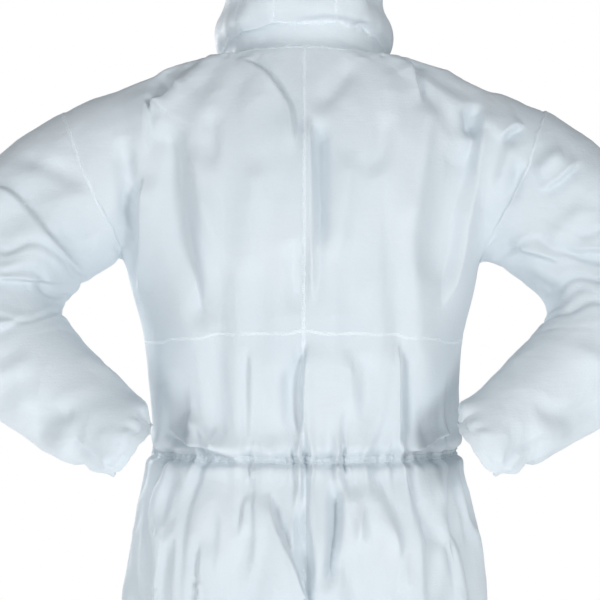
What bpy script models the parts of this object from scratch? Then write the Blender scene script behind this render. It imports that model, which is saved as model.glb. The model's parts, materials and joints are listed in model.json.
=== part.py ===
"""Hooded one-piece chemical protective suit, worn shape, arms bent with the cuffs behind the waist.

Frame: metres, +Z up, the suit faces -Y and the wearer's left side is +X. Z is 0 at the trouser hems
and X is 0 on the suit's middle plane. Fabric panels are thin shells that keep a small gap at every seam.
"""

import math

import bmesh
import bpy
from mathutils import Matrix, Vector

# Driving dimensions, metres
BODY_Y = -0.037125            # middle of the trunk, front to back
FABRIC = 0.0012               # wall of a panel
SEAM_GAP = 0.0008             # half of the gap between two panels
TAPE = 0.0009                 # thickness of a seam binding
TAPE_WIDTH = 0.009
TRUNK_POWER = 2.3             # 2 gives an elliptical trunk section, more is squarer

NECK_Z = 1.432
YOKE_Z = 1.116                # seam across the back
WAIST_Z = 0.975
ARMHOLE_LOW_Z = 1.180
ARMHOLE_TOP_Z = 1.391
ARMHOLE_LOW_X = 0.205         # half width of the trunk at the two ends of the armhole
ARMHOLE_TOP_X = 0.2925
ARMHOLE_BACK = 0.098          # half depth of the armhole's opening behind the side seam
ARMHOLE_FRONT = 0.078         # and in front of it
COLLAR_TOP_Z = 1.462
HOOD_BASE_Z = 1.465
HEAD_Z = 1.600                # centre of the hood's round part
HOOD_HALF_WIDTH = 0.107
HOOD_DEPTH = 0.125
HOOD_RISE = 0.160
STRIP_HALF = 0.037            # half width of the hood's centre strip
FACE_LOW_Z = 1.487
FACE_TOP_Z = 1.694
FACE_HALF = 0.076
COLLAR_HALF_WIDTH = 0.088     # at the neckline

SHOULDER = Vector((0.172, BODY_Y, 1.395))
ELBOW = Vector((0.380, BODY_Y + 0.055, 1.160))
WRIST = Vector((0.182, BODY_Y + 0.172, 0.982))
SLEEVE_START = 0.137          # from the shoulder pivot to the sleeve, clear of the armhole as it turns
ELBOW_CLEAR = 0.070
ELBOW_BALL = 0.066
ELBOW_OPENING = math.radians(44)
CUFF_BAND = (0.006, 0.016)    # the elastic lies this far inside the sleeve's end

HIP_Z = 0.860
SEAT_RADIUS = 0.148           # the trunk ends on a cylinder about the hip axis
LEG_RADIUS = 0.152            # and each leg starts outside it
LEG_CENTRE_X = 0.1145
LEG_HALF_WIDTH = 0.1075
LEG_HALF_DEPTH = 0.136
KNEE = Vector((0.137, BODY_Y, 0.450))
KNEE_CLEAR = 0.068
KNEE_BALL = 0.075
KNEE_OPENING = math.radians(37)
LEG_ABOVE_KNEE = (0.082, 0.086)   # half width and half depth of the leg
LEG_BELOW_KNEE = (0.080, 0.084)
LEG_AT_HEM = (0.058, 0.064)
ANKLE_X = 0.155

ZIP_LOW_Z = 0.815
ZIP_TOP_Z = 1.426
FRONT_DEPTH = 0.130           # the front edge is straight, so that the slider runs on a line
PANEL_EDGE = 0.008            # half of the opening between the front panels
FLAP_TOP_Z = 1.384
FLAP_END_Z = 0.918            # below this the storm flap is sewn down
FLAP_HINGE_X = 0.040
FLAP_STAND = 0.0085           # height of the channel that the slider runs in
FRONT_Y = BODY_Y - FRONT_DEPTH - SEAM_GAP     # outer face of the front edge
CHAIN_Y = FRONT_Y + FABRIC + 0.0017           # the tape lies just inside the panels
CHAIN_INNER_X = 0.0010
CHAIN_OUTER_X = 0.0032
SLIDER_LENGTH = 0.012
SLIDER_TOP_Z = ZIP_TOP_Z - 0.002
SLIDER_FRONT = CHAIN_Y - 0.0030               # the front plate's outer face
PULL_PIVOT = Vector((0.0, SLIDER_FRONT - 0.0010, SLIDER_TOP_Z - 0.0058))

WHITE = (0.72, 0.78, 0.83, 1.0)


def clear_scene():
    for obj in list(bpy.data.objects):
        bpy.data.objects.remove(obj)


def material(name, color, roughness, metallic=0.0):
    made = bpy.data.materials.new(name)
    made.use_nodes = True
    shader = made.node_tree.nodes["Principled BSDF"]
    shader.inputs["Base Color"].default_value = color
    shader.inputs["Roughness"].default_value = roughness
    shader.inputs["Metallic"].default_value = metallic
    return made


def between(value, stops):
    """The value on the straight lines through the (place, value) stops, held beyond the ends."""
    if value <= stops[0][0]:
        return stops[0][1]
    for (low, first), (high, second) in zip(stops, stops[1:]):
        if value <= high:
            share = (value - low) / (high - low)
            return first + (second - first) * share
    return stops[-1][1]


def add_object(name, mesh, finish, smooth=True):
    obj = bpy.data.objects.new(name, mesh)
    bpy.context.scene.collection.objects.link(obj)
    mesh.materials.append(finish)
    if smooth:
        mesh.shade_smooth()
        mesh.set_sharp_from_angle(angle=math.radians(40))
    return obj


def mesh_of(name, points, faces):
    """A mesh made through bmesh, whose faces point out."""
    bm = bmesh.new()
    corners = [bm.verts.new(p) for p in points]
    for face in faces:
        bm.faces.new([corners[i] for i in face])
    bmesh.ops.recalc_face_normals(bm, faces=bm.faces)
    mesh = bpy.data.meshes.new(name)
    bm.to_mesh(mesh)
    bm.free()
    return mesh


def grid_faces(rows, cols, first=0, closed=False):
    """Quads of a grid of rows x cols points, whose columns may close into a ring."""
    faces = []
    for i in range(rows - 1):
        for j in range(cols if closed else cols - 1):
            after = (j + 1) % cols
            a, b = first + i * cols + j, first + i * cols + after
            faces.append((a, b, b + cols, a + cols))
    return faces


def sheet(name, point, rows, cols, finish, inward, thickness=FABRIC):
    """A thin closed shell over point(row share, column share), thickened towards inward(point)."""
    outer = [
        [Vector(point(i / (rows - 1), j / (cols - 1))) for j in range(cols)]
        for i in range(rows)
    ]
    inner = []
    for i in range(rows):
        for j in range(cols):
            along = outer[min(i + 1, rows - 1)][j] - outer[max(i - 1, 0)][j]
            across = outer[i][min(j + 1, cols - 1)] - outer[i][max(j - 1, 0)]
            normal = along.cross(across).normalized()
            here = outer[i][j]
            if normal.dot(Vector(inward(here)) - here) < 0:
                normal = -normal
            inner.append(here + normal * thickness)
    points = [p for row in outer for p in row] + inner
    count = rows * cols
    faces = grid_faces(rows, cols) + grid_faces(rows, cols, first=count)
    rim = [(0, j) for j in range(cols)]
    rim += [(i, cols - 1) for i in range(1, rows)]
    rim += [(rows - 1, j) for j in range(cols - 2, -1, -1)]
    rim += [(i, 0) for i in range(rows - 2, 0, -1)]
    edge = [i * cols + j for i, j in rim]
    for a, b in zip(edge, edge[1:] + edge[:1]):
        faces.append((a, b, b + count, a + count))
    return add_object(name, mesh_of(name, points, faces), finish)


def ring_shell(name, point, rows, cols, finish, thickness=FABRIC):
    """A thin closed tube wall over point(row share, angle, inset)."""
    points = []
    for inset in (0.0, thickness):
        for i in range(rows):
            for j in range(cols):
                points.append(point(i / (rows - 1), 2 * math.pi * j / cols, inset))
    count = rows * cols
    faces = grid_faces(rows, cols, closed=True)
    faces += grid_faces(rows, cols, first=count, closed=True)
    for row in (0, rows - 1):
        for j in range(cols):
            a, b = row * cols + j, row * cols + (j + 1) % cols
            faces.append((a, b, b + count, a + count))
    return add_object(name, mesh_of(name, points, faces), finish)


def box(name, low, high, finish, bevel=0.0):
    """A box between two corners, with an optional rounding of its edges."""
    bm = bmesh.new()
    bmesh.ops.create_cube(bm, size=1.0)
    size = Vector(high) - Vector(low)
    middle = (Vector(high) + Vector(low)) / 2
    place = Matrix.Translation(middle) @ Matrix.Diagonal((*size, 1.0))
    bmesh.ops.transform(bm, matrix=place, verts=bm.verts)
    mesh = bpy.data.meshes.new(name)
    bm.to_mesh(mesh)
    bm.free()
    obj = add_object(name, mesh, finish, smooth=False)
    if bevel:
        rounding = obj.modifiers.new("Bevel", "BEVEL")
        rounding.width = bevel
        rounding.segments = 2
    return obj


# ---- trunk ----

UPPER_ROWS = [YOKE_Z + SEAM_GAP, 1.150, ARMHOLE_LOW_Z, 1.215, 1.255, 1.300, 1.340, 1.372, ARMHOLE_TOP_Z,
              1.404, 1.417, 1.425, NECK_Z - SEAM_GAP]
LOWER_ROWS = [WAIST_Z + SEAM_GAP, 1.010, 1.050, 1.085, YOKE_Z - SEAM_GAP]
PANEL_COLUMNS = 8


def trunk_half_width(z):
    return between(z, [
        (0.700, 0.224), (0.804, 0.222), (0.880, 0.213), (WAIST_Z, 0.197), (1.050, 0.200), (YOKE_Z, 0.201),
        (ARMHOLE_LOW_Z, ARMHOLE_LOW_X), (ARMHOLE_TOP_Z, ARMHOLE_TOP_X), (1.404, 0.275), (1.417, 0.222),
        (1.425, 0.170), (1.429, 0.120), (NECK_Z, COLLAR_HALF_WIDTH),
    ])


def trunk_depth(z, side):
    """Depth of the trunk's middle behind (side 1) or in front (side -1) of its axis."""
    if side > 0:
        return between(z, [
            (0.720, 0.138), (0.800, 0.141), (0.880, 0.143), (WAIST_Z, 0.128), (1.050, 0.134), (YOKE_Z, 0.138),
            (1.250, 0.146), (1.350, 0.138), (ARMHOLE_TOP_Z, 0.127), (1.417, 0.112), (NECK_Z, 0.088),
        ])
    return FRONT_DEPTH


def armhole_depth(z, side):
    """Half depth of the armhole's opening at this height."""
    half = (ARMHOLE_TOP_Z - ARMHOLE_LOW_Z) / 2
    share = (z - ARMHOLE_LOW_Z - half) / half
    if abs(share) >= 1:
        return 0.0
    return (ARMHOLE_BACK if side > 0 else ARMHOLE_FRONT) * math.sqrt(1 - share * share)


def neck_tilt(z):
    """The neckline is higher behind than in front."""
    return between(z, [(1.330, 0.0), (NECK_Z, 0.26), (HOOD_BASE_Z, 0.22), (HEAD_Z, 0.0)])


def superellipse(share):
    """Height of a unit superellipse at this share of its half width."""
    return max(1 - share ** TRUNK_POWER, 0.0) ** (1 / TRUNK_POWER)


def trunk_point(side, across, z):
    """A point of the trunk's outer face. across is 0 at the middle and 1 at the side seam or armhole."""
    share = math.sin(across * math.pi / 2)
    opening = armhole_depth(z, side)
    depth = trunk_depth(z, side) - opening
    x = share * trunk_half_width(z)
    y = side * (SEAM_GAP + opening + depth * superellipse(share))
    return Vector((x, BODY_Y + y, z + neck_tilt(z) * y))


def seat_edge_z(y, radius):
    return HIP_Z - math.sqrt(max(radius ** 2 - y ** 2, 0.0))


def leg_inner_edge(y):
    """Distance off the middle plane at which the top of a leg starts, y in front of or behind its axis."""
    return LEG_CENTRE_X - LEG_HALF_WIDTH * superellipse(min(y / LEG_HALF_DEPTH, 1.0))


def toward_body_axis(point):
    return (0.0, BODY_Y, point.z)


def toward_trunk_axis(point):
    return (0.0, BODY_Y, min(point.z, 1.30))


def from_middle(point, hand, edge):
    """Moves a point off the middle plane by edge and to its own hand: 1 is the wearer's left."""
    return Vector((hand * max(point.x, edge), point.y, point.z))


def trunk_panel(name, side, hand, stops, cols, finish, edge=SEAM_GAP):
    """A trunk panel through the listed heights, from the middle seam to the side seam."""
    def point(row, col):
        place = row * (len(stops) - 1)
        index = min(int(place), len(stops) - 2)
        z = stops[index] + (stops[index + 1] - stops[index]) * (place - index)
        return from_middle(trunk_point(side, col, z), hand, edge)
    return sheet(name, point, len(stops), cols, finish, toward_trunk_axis)


def seat_panel(name, side, hand, top, rows, cols, finish, edge=SEAM_GAP):
    """A panel from below the waist to the curved edge where the leg starts."""
    def point(row, col):
        foot = trunk_point(side, col, 0.780)
        low = seat_edge_z(foot.y - BODY_Y, SEAT_RADIUS) + 0.0005
        z = top + (low - top) * row
        return from_middle(trunk_point(side, col, z), hand, edge)
    return sheet(name, point, rows, cols, finish, toward_trunk_axis)


def build_trunk(fabric, elastic, binding):
    front = [ZIP_LOW_Z, 0.880, WAIST_Z, 1.050, YOKE_Z, *UPPER_ROWS[1:]]
    for hand, label in ((1, "left"), (-1, "right")):
        trunk_panel(f"back_upper_{label}", 1, hand, UPPER_ROWS, PANEL_COLUMNS, fabric)
        trunk_panel(f"back_lower_{label}", 1, hand, LOWER_ROWS, PANEL_COLUMNS, fabric)
        trunk_panel(f"front_{label}", -1, hand, front, PANEL_COLUMNS, fabric, edge=PANEL_EDGE)
        seat_panel(f"seat_{label}", 1, hand, WAIST_Z - SEAM_GAP, 5, PANEL_COLUMNS, fabric)
        seat_panel(f"front_lap_{label}", -1, hand, ZIP_LOW_Z - 2 * SEAM_GAP, 3, PANEL_COLUMNS, fabric)
    crotch_gusset(fabric)
    waist_elastic(elastic)
    for hand, label in ((1, "left"), (-1, "right")):
        armhole_binding(f"armhole_binding_{label}", hand, binding)
        shoulder_tape(f"shoulder_tape_{label}", hand, binding)


def crotch_gusset(finish):
    """The saddle between the legs, curved about the hip axis: narrow below, wide at the lap and seat."""
    radius, lap = SEAT_RADIUS - 0.001, 0.012

    def point(row, col):
        reach = 2 * row - 1
        side = 1 if reach > 0 else -1
        x = (2 * col - 1) * (leg_inner_edge(abs(reach) * LEG_HALF_DEPTH) + lap)
        end = (0.137 if side > 0 else FRONT_DEPTH - 0.004) * superellipse(abs(x) / 0.210)
        y = reach * end
        return Vector((x, BODY_Y + y, HIP_Z - math.sqrt(radius ** 2 - y ** 2)))
    sheet("crotch_gusset", point, 17, 6, finish, lambda p: (0.0, BODY_Y, HIP_Z))


def waist_elastic(finish):
    """The band sewn inside the waist, from side seam to side seam behind."""
    inset = FABRIC + 0.003
    half_height = 0.006

    def point(row, col):
        turn = 2 * col - 1
        z = WAIST_Z - half_height + 2 * half_height * row
        outer = trunk_point(1, abs(turn), z)
        flat = Vector((outer.x, outer.y - BODY_Y, 0.0))
        shrunk = flat * (1 - inset / flat.length)
        return Vector((math.copysign(shrunk.x, turn), BODY_Y + shrunk.y, z))
    sheet("waist_elastic", point, 2, 2 * PANEL_COLUMNS - 1, finish, toward_body_axis, thickness=0.001)


def armhole_binding(name, hand, finish):
    """The bound edge round the armhole, just outside the two panels' edges."""
    low, high = ARMHOLE_LOW_Z - 0.001, ARMHOLE_TOP_Z + 0.001
    half = (high - low) / 2
    slope = (ARMHOLE_TOP_X - ARMHOLE_LOW_X) / (ARMHOLE_TOP_Z - ARMHOLE_LOW_Z)
    clear_height, clear_depth, clear_side, width = 0.0035, 0.0045, 0.0018, 0.0035

    def point(share, angle, inset):
        lift = math.sin(angle)
        z = low + half + (half + clear_height) * lift
        side = 1 if math.cos(angle) > 0 else -1
        depth = (ARMHOLE_BACK if side > 0 else ARMHOLE_FRONT) + clear_depth - inset
        x = ARMHOLE_LOW_X + slope * (z - ARMHOLE_LOW_Z) + clear_side + share * width
        return Vector((hand * x, BODY_Y + math.cos(angle) * depth, z - inset * lift))
    ring_shell(name, point, 2, 20, finish, thickness=0.0022)


def shoulder_tape(name, hand, finish):
    """A flat stay tape under the shoulder seam, where the suit hangs on a hanger or on the wearer."""
    half = Vector((0.035, 0.005, 0.0005))
    tape = box(name, -half, half, finish)
    slope = Matrix.Rotation(hand * math.radians(8.5), 4, "Y")
    tape.data.transform(Matrix.Translation((hand * 0.185, BODY_Y + 0.002, 1.412)) @ slope)


# ---- seam bindings on the back ----

def trunk_binding(name, stops, finish):
    """A tape up the middle of the back, over the gap between the two panels."""
    half = TAPE_WIDTH / 2

    def point(row, col):
        outer = trunk_point(1, 0.0, stops[round(row * (len(stops) - 1))])
        return Vector((half * (2 * col - 1), outer.y + TAPE + 0.0005, outer.z))
    sheet(name, point, len(stops), 2, finish, toward_trunk_axis, thickness=TAPE)


def yoke_binding(finish):
    half = TAPE_WIDTH / 2

    def point(row, col):
        turn = 2 * col - 1
        z = YOKE_Z + half * (2 * row - 1)
        outer = trunk_point(1, abs(turn), z)
        flat = Vector((outer.x, outer.y - BODY_Y, 0.0))
        grown = flat * (1 + (TAPE + 0.0006) / flat.length)
        return Vector((math.copysign(grown.x, turn), BODY_Y + grown.y, z))
    sheet("yoke_binding", point, 2, 2 * PANEL_COLUMNS - 1, finish, toward_body_axis, thickness=TAPE)


def build_bindings(finish):
    clear = TAPE_WIDTH / 2 + 0.0008
    trunk_binding("back_seam_upper_binding", [YOKE_Z + clear, *UPPER_ROWS[1:9]], finish)
    trunk_binding("back_seam_lower_binding", [WAIST_Z + 0.002, *LOWER_ROWS[1:4], YOKE_Z - clear], finish)
    trunk_binding("seat_seam_binding", [0.830, 0.865, 0.900, 0.935, WAIST_Z - 0.002], finish)
    yoke_binding(finish)


# ---- sleeves ----

def limb_frame(start, end):
    """Unit vectors along a limb, across it in the frontal plane, and across it front to back."""
    along = (end - start).normalized()
    fore = (Vector((0, 1, 0)) - along * along.y).normalized()
    return along, fore.cross(along).normalized(), fore


def limb_tube(name, start, end, near, far, radii, rows, finish, hand, cols=14):
    """A sleeve stretch. radii holds (across, fore) at its near and its far end."""
    along, across, fore = limb_frame(start, end)

    def point(share, angle, inset):
        ra = radii[0][0] + (radii[1][0] - radii[0][0]) * share - inset
        rf = radii[0][1] + (radii[1][1] - radii[0][1]) * share - inset
        here = start + along * (near + (far - near) * share)
        here = here + across * (ra * math.cos(angle)) + fore * (rf * math.sin(angle))
        return Vector((hand * here.x, here.y, here.z))
    return ring_shell(name, point, rows, cols, finish)


def joint_ball(name, centre, toward_a, toward_b, radius, finish, hand, opening):
    """The bunched cloth round a joint: a hollow ball, open towards both limbs."""
    a, b = toward_a.normalized(), toward_b.normalized()
    plane_normal = a.cross(b)
    if plane_normal.length < 0.05:
        plane_normal = Vector((1, 0, 0)).cross(a)
    side = plane_normal.normalized()

    def point(share, angle, inset):
        """Arcs from the opening round a to the opening round b, spun evenly about their middle plane."""
        r = radius - inset
        middle = math.acos(max(-1.0, min(1.0, a.dot(b)))) / 2
        axis = (b - a).normalized()
        bisect = axis.cross(side).normalized()
        tilt = -(math.pi / 2 - opening) + 2 * (math.pi / 2 - opening) * share
        ring = bisect * math.cos(angle) + side * math.sin(angle)
        lean = bisect * math.copysign(math.cos(middle), (a + b).dot(bisect) or 1.0)
        centre_line = axis * math.sin(tilt) * math.sin(middle) + lean * abs(math.sin(tilt))
        direction = (ring * math.cos(tilt) + centre_line).normalized()
        here = centre + direction * r
        return Vector((hand * here.x, here.y, here.z))
    return ring_shell(name, point, 7, 14, finish)


def build_sleeves(fabric, elastic):
    reach = (ELBOW - SHOULDER).length
    lower = (WRIST - ELBOW).length
    for hand, label in ((1, "left"), (-1, "right")):
        limb_tube(f"{label}_upper_sleeve", SHOULDER, ELBOW, SLEEVE_START, reach - ELBOW_CLEAR,
                  ((0.078, 0.070), (0.067, 0.064)), 4, fabric, hand)
        joint_ball(f"{label}_elbow_fold", ELBOW, SHOULDER - ELBOW, WRIST - ELBOW, ELBOW_BALL, fabric, hand,
                   ELBOW_OPENING)
        limb_tube(f"{label}_forearm_sleeve", ELBOW, WRIST, ELBOW_CLEAR, lower,
                  ((0.066, 0.064), (0.049, 0.047)), 6, fabric, hand)
        limb_tube(f"{label}_cuff_elastic", ELBOW, WRIST, lower - CUFF_BAND[1], lower - CUFF_BAND[0],
                  ((0.0468, 0.0448), (0.0464, 0.0444)), 2, elastic, hand)


# ---- trouser legs ----

def thigh_point(share, angle, inset):
    """From the curved top, clear of the seat, to a flat end above the knee."""
    end = KNEE.z + KNEE_CLEAR
    centre_x = LEG_CENTRE_X + (KNEE.x - LEG_CENTRE_X) * share
    rx = LEG_HALF_WIDTH + (LEG_ABOVE_KNEE[0] - LEG_HALF_WIDTH) * share - inset
    ry = LEG_HALF_DEPTH + (LEG_ABOVE_KNEE[1] - LEG_HALF_DEPTH) * share - inset
    power = 2 / TRUNK_POWER
    c, s = math.cos(angle), math.sin(angle)
    x = centre_x + rx * math.copysign(abs(c) ** power, c)
    y = ry * math.copysign(abs(s) ** power, s)
    top_y = (LEG_HALF_DEPTH - inset) * math.copysign(abs(s) ** power, s)
    top = seat_edge_z(top_y, LEG_RADIUS) - 0.0005
    return Vector((x, BODY_Y + y, top + (end - top) * share))


def shin_point(share, angle, inset):
    top = KNEE.z - KNEE_CLEAR
    centre_x = KNEE.x + (ANKLE_X - KNEE.x) * share
    rx = LEG_BELOW_KNEE[0] + (LEG_AT_HEM[0] - LEG_BELOW_KNEE[0]) * share - inset
    ry = LEG_BELOW_KNEE[1] + (LEG_AT_HEM[1] - LEG_BELOW_KNEE[1]) * share - inset
    return Vector((centre_x + rx * math.cos(angle), BODY_Y + ry * math.sin(angle), top * (1 - share)))


def ankle_point(share, angle, inset):
    """The elastic in the hem, just inside the leg."""
    z = 0.006 + 0.010 * share
    clear = 0.0026 + inset
    rx, ry = LEG_AT_HEM[0] - clear, LEG_AT_HEM[1] - clear
    return Vector((ANKLE_X + rx * math.cos(angle), BODY_Y + ry * math.sin(angle), z))


def build_legs(fabric, elastic):
    down = Vector((0, 0, -1))
    for hand, label in ((1, "left"), (-1, "right")):
        def mirrored(point, hand=hand):
            def moved(share, angle, inset):
                p = point(share, angle, inset)
                return Vector((hand * p.x, p.y, p.z))
            return moved
        ring_shell(f"{label}_thigh", mirrored(thigh_point), 6, 20, fabric)
        joint_ball(f"{label}_knee_fold", KNEE, -down, down, KNEE_BALL, fabric, hand, KNEE_OPENING)
        ring_shell(f"{label}_shin", mirrored(shin_point), 7, 16, fabric)
        ring_shell(f"{label}_ankle_elastic", mirrored(ankle_point), 2, 16, elastic, thickness=0.001)


# ---- collar and hood ----

def collar_point(side, across, z):
    """The stand collar widens a little from the neckline to the hood."""
    share = math.sin(across * math.pi / 2)
    half = between(z, [(NECK_Z, COLLAR_HALF_WIDTH), (COLLAR_TOP_Z, 0.094)])
    depth = FRONT_DEPTH + 2 * SEAM_GAP
    if side > 0:
        depth = between(z, [(NECK_Z, COLLAR_HALF_WIDTH), (COLLAR_TOP_Z, 0.092)])
    power = 2 if side > 0 else TRUNK_POWER
    y = side * depth * (1 - share ** power) ** (1 / power)
    return Vector((share * half, BODY_Y + y, z + neck_tilt(z) * y))


def build_collar(fabric):
    """One band round the neck, open at the front where the zip runs up."""
    reach = 1 - math.asin(PANEL_EDGE / COLLAR_HALF_WIDTH) / math.pi
    low = NECK_Z + 0.0015

    def point(row, col):
        turn = 2 * col - 1
        angle = abs(turn) * reach * math.pi
        side = 1 if angle <= math.pi / 2 else -1
        across = angle / (math.pi / 2) if side > 0 else 2 - angle / (math.pi / 2)
        z = low + (COLLAR_TOP_Z - low) * row
        p = collar_point(side, across, z)
        return Vector((math.copysign(p.x, turn), p.y, p.z))
    sheet("collar_band", point, 3, 31, fabric, toward_body_axis)


def hood_section(z):
    """Half width, depth behind and depth in front of the hood at this height."""
    if z > HEAD_Z:
        shrink = math.sqrt(max(1 - ((z - HEAD_Z) / HOOD_RISE) ** 2, 0.0))
        return HOOD_HALF_WIDTH * shrink, HOOD_DEPTH * shrink, HOOD_DEPTH * shrink
    half = between(z, [(HOOD_BASE_Z, 0.104), (1.480, 0.109), (1.530, 0.104), (HEAD_Z, HOOD_HALF_WIDTH)])
    back = between(z, [(HOOD_BASE_Z, 0.101), (1.485, 0.112), (1.540, 0.114), (HEAD_Z, HOOD_DEPTH)])
    front = between(z, [(HOOD_BASE_Z, 0.130), (1.520, 0.127), (HEAD_Z, HOOD_DEPTH)])
    return half, back, front


def face_opening(z):
    """Half width of the face opening at this height."""
    if z <= FACE_LOW_Z:
        return 0.004
    share = min((z - FACE_LOW_Z) / (FACE_TOP_Z - FACE_LOW_Z), 1.0)
    return max(FACE_HALF * math.sin(math.pi * (0.06 + 0.80 * share)) ** 0.75, 0.004)


def hood_point(angle, z):
    """A point of the hood's face. angle is 0 at the back, 90 degrees at the side and 180 at the front."""
    half, back, front = hood_section(z)
    x = half * math.sin(angle)
    y = (back if angle < math.pi / 2 else front) * math.cos(angle)
    return Vector((x, BODY_Y + y, z + neck_tilt(z) * y))


def hood_side(name, hand, finish):
    top = 1.742                   # the strip closes the hood above this
    spread = 0.85                 # below 1, rows lie closer together near the top

    def point(row, col):
        z = HOOD_BASE_Z + (top - HOOD_BASE_Z) * row ** spread
        half = hood_section(z)[0]
        strip = STRIP_HALF + SEAM_GAP
        first = math.asin(min(strip / half, 1.0))
        opening = strip if z > FACE_TOP_Z else face_opening(z)
        last = math.pi - math.asin(min(opening / half, 1.0))
        p = hood_point(first + (last - first) * col, z)
        return Vector((hand * p.x, p.y, p.z))
    sheet(name, point, 13, 11, finish, toward_head)


def crown_line(row, x):
    """Up the back of the hood, over the crown and down to the forehead, at a distance x off centre."""
    straight = 0.34               # share of the line that runs up to the head's middle
    end = math.radians(143)       # the crown is passed and the line ends over the forehead
    if row < straight:
        z = HOOD_BASE_Z + (HEAD_Z - HOOD_BASE_Z) * row / straight
        half, back, _ = hood_section(z)
        y = back * math.sqrt(1 - (x / half) ** 2)
        return Vector((x, BODY_Y + y, z + neck_tilt(z) * y))
    turn = end * (row - straight) / (1 - straight)
    shrink = math.sqrt(1 - (x / HOOD_HALF_WIDTH) ** 2)
    y = BODY_Y + HOOD_DEPTH * shrink * math.cos(turn)
    return Vector((x, y, HEAD_Z + HOOD_RISE * shrink * math.sin(turn)))


def toward_head(point):
    return (0.0, BODY_Y, min(point.z, HEAD_Z))


def hood_strip(finish):
    def point(row, col):
        return crown_line(row, (STRIP_HALF - SEAM_GAP) * (2 * col - 1))
    sheet("hood_centre_strip", point, 19, 6, finish, toward_head)


def hood_binding(name, hand, finish):
    """The bound seam between the strip and a side panel, along the hood's outside."""
    half, lift = 0.0028, TAPE + 0.0020

    def point(row, col):
        p = crown_line(0.012 + 0.976 * row, STRIP_HALF + half * (2 * col - 1))
        p = p + (p - Vector(toward_head(p))).normalized() * lift
        return Vector((hand * p.x, p.y, p.z))
    sheet(name, point, 19, 2, finish, toward_head, thickness=TAPE)


def face_elastic(finish):
    """The elastic cord in the face hem, drawn as a round cord just inside the hood."""
    inset = 0.0062
    path = []
    heights = [FACE_LOW_Z + (FACE_TOP_Z - 0.004 - FACE_LOW_Z) * i / 11 for i in range(12)]
    for z in heights:
        section = hood_section(z)[0]
        p = hood_point(math.pi - math.asin(face_opening(z) / section), z)
        path.append(Vector((p.x, p.y + inset, p.z)))
    curve = bpy.data.curves.new("face_elastic", "CURVE")
    curve.dimensions = "3D"
    curve.bevel_depth = 0.0018
    curve.bevel_resolution = 1
    spline = curve.splines.new("POLY")
    loop = [Vector((-p.x, p.y, p.z)) for p in path] + path[::-1]
    spline.points.add(len(loop) - 1)
    for slot, p in zip(spline.points, loop):
        slot.co = (*p, 1.0)
    spline.use_cyclic_u = True
    obj = bpy.data.objects.new("face_elastic", curve)
    bpy.context.scene.collection.objects.link(obj)
    curve.materials.append(finish)


def build_hood(fabric, elastic, binding):
    hood_strip(fabric)
    for hand, label in ((1, "left"), (-1, "right")):
        hood_side(f"hood_{label}", hand, fabric)
        hood_binding(f"hood_{label}_binding", hand, binding)
    face_elastic(elastic)


# ---- zip and storm flap ----

def build_zip(tape, chain, metal, fabric, adhesive):
    for hand, label in ((1, "left"), (-1, "right")):
        inner, outer = sorted((hand * (CHAIN_OUTER_X + 0.0004), hand * 0.0125))
        box(f"zip_tape_{label}", (inner, CHAIN_Y, ZIP_LOW_Z + 0.002),
            (outer, CHAIN_Y + 0.0006, ZIP_TOP_Z + 0.004), tape)
        inner, outer = sorted((hand * CHAIN_INNER_X, hand * CHAIN_OUTER_X))
        box(f"zip_chain_{label}", (inner, CHAIN_Y - 0.0012, ZIP_LOW_Z + 0.006),
            (outer, CHAIN_Y + 0.0010, ZIP_TOP_Z), chain)
    box("zip_bottom_stop", (-CHAIN_OUTER_X, CHAIN_Y - 0.0014, ZIP_LOW_Z + 0.002),
        (CHAIN_OUTER_X, CHAIN_Y + 0.0012, ZIP_LOW_Z + 0.0056), metal, bevel=0.0004)
    slider(metal)
    pull_tab(metal)
    storm_flap(fabric)
    flap_adhesive(adhesive)


def slider(finish):
    """Two plates joined by a post between the chains, with a bridge for the pull tab."""
    top, low = SLIDER_TOP_Z, SLIDER_TOP_Z - SLIDER_LENGTH
    front, back = SLIDER_FRONT, CHAIN_Y + 0.0028
    plate, half_width, half_bridge = 0.0013, 0.0052, 0.0012
    body = box("zip_slider", (-half_width, front, low), (half_width, front + plate, top), finish)
    half_post, sunk = 0.0005, 0.0006
    stand, bar_back = front - 0.0032, front - 0.0020
    foot, foot_top = top - 0.0100, top - 0.0085
    head_foot, head = top - 0.0030, top - 0.0015
    leg_front = bar_back - 0.0002
    parts = [
        ("back_plate", (-half_width, back - plate, low), (half_width, back, top)),
        ("post", (-half_post, front + sunk, top - 0.0045), (half_post, back - sunk, top - 0.0005)),
        ("bridge_low", (-half_bridge, leg_front, foot), (half_bridge, front + sunk, foot_top)),
        ("bridge_top", (-half_bridge, leg_front, head_foot), (half_bridge, front + sunk, head)),
        ("bridge_bar", (-half_bridge, stand, foot), (half_bridge, bar_back, head)),
    ]
    for label, near, far in parts:
        part = box(f"slider_{label}", near, far, finish)
        part.hide_render = True
        part.display_type = "WIRE"
        joining = body.modifiers.new(label, "BOOLEAN")
        joining.operation = "UNION"
        joining.object = part


def pull_tab(finish):
    """A flat tab that hangs by its top bar in the slider's bridge. Its origin is on the bar's axis."""
    half_width, half_thick, bar, length = 0.0036, 0.00045, 0.0006, 0.0262
    tab = box("pull_tab", (-half_width, -half_thick, -length), (half_width, half_thick, bar), finish)
    tab.location = PULL_PIVOT
    window, half_window = 0.0052, 0.0018
    eye = box("pull_tab_eye", (-half_window, -0.01, -window), (half_window, 0.01, -bar), finish)
    eye.location = PULL_PIVOT
    eye.hide_render = True
    eye.display_type = "WIRE"
    cut = tab.modifiers.new("eye", "BOOLEAN")
    cut.operation = "DIFFERENCE"
    cut.object = eye


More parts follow.
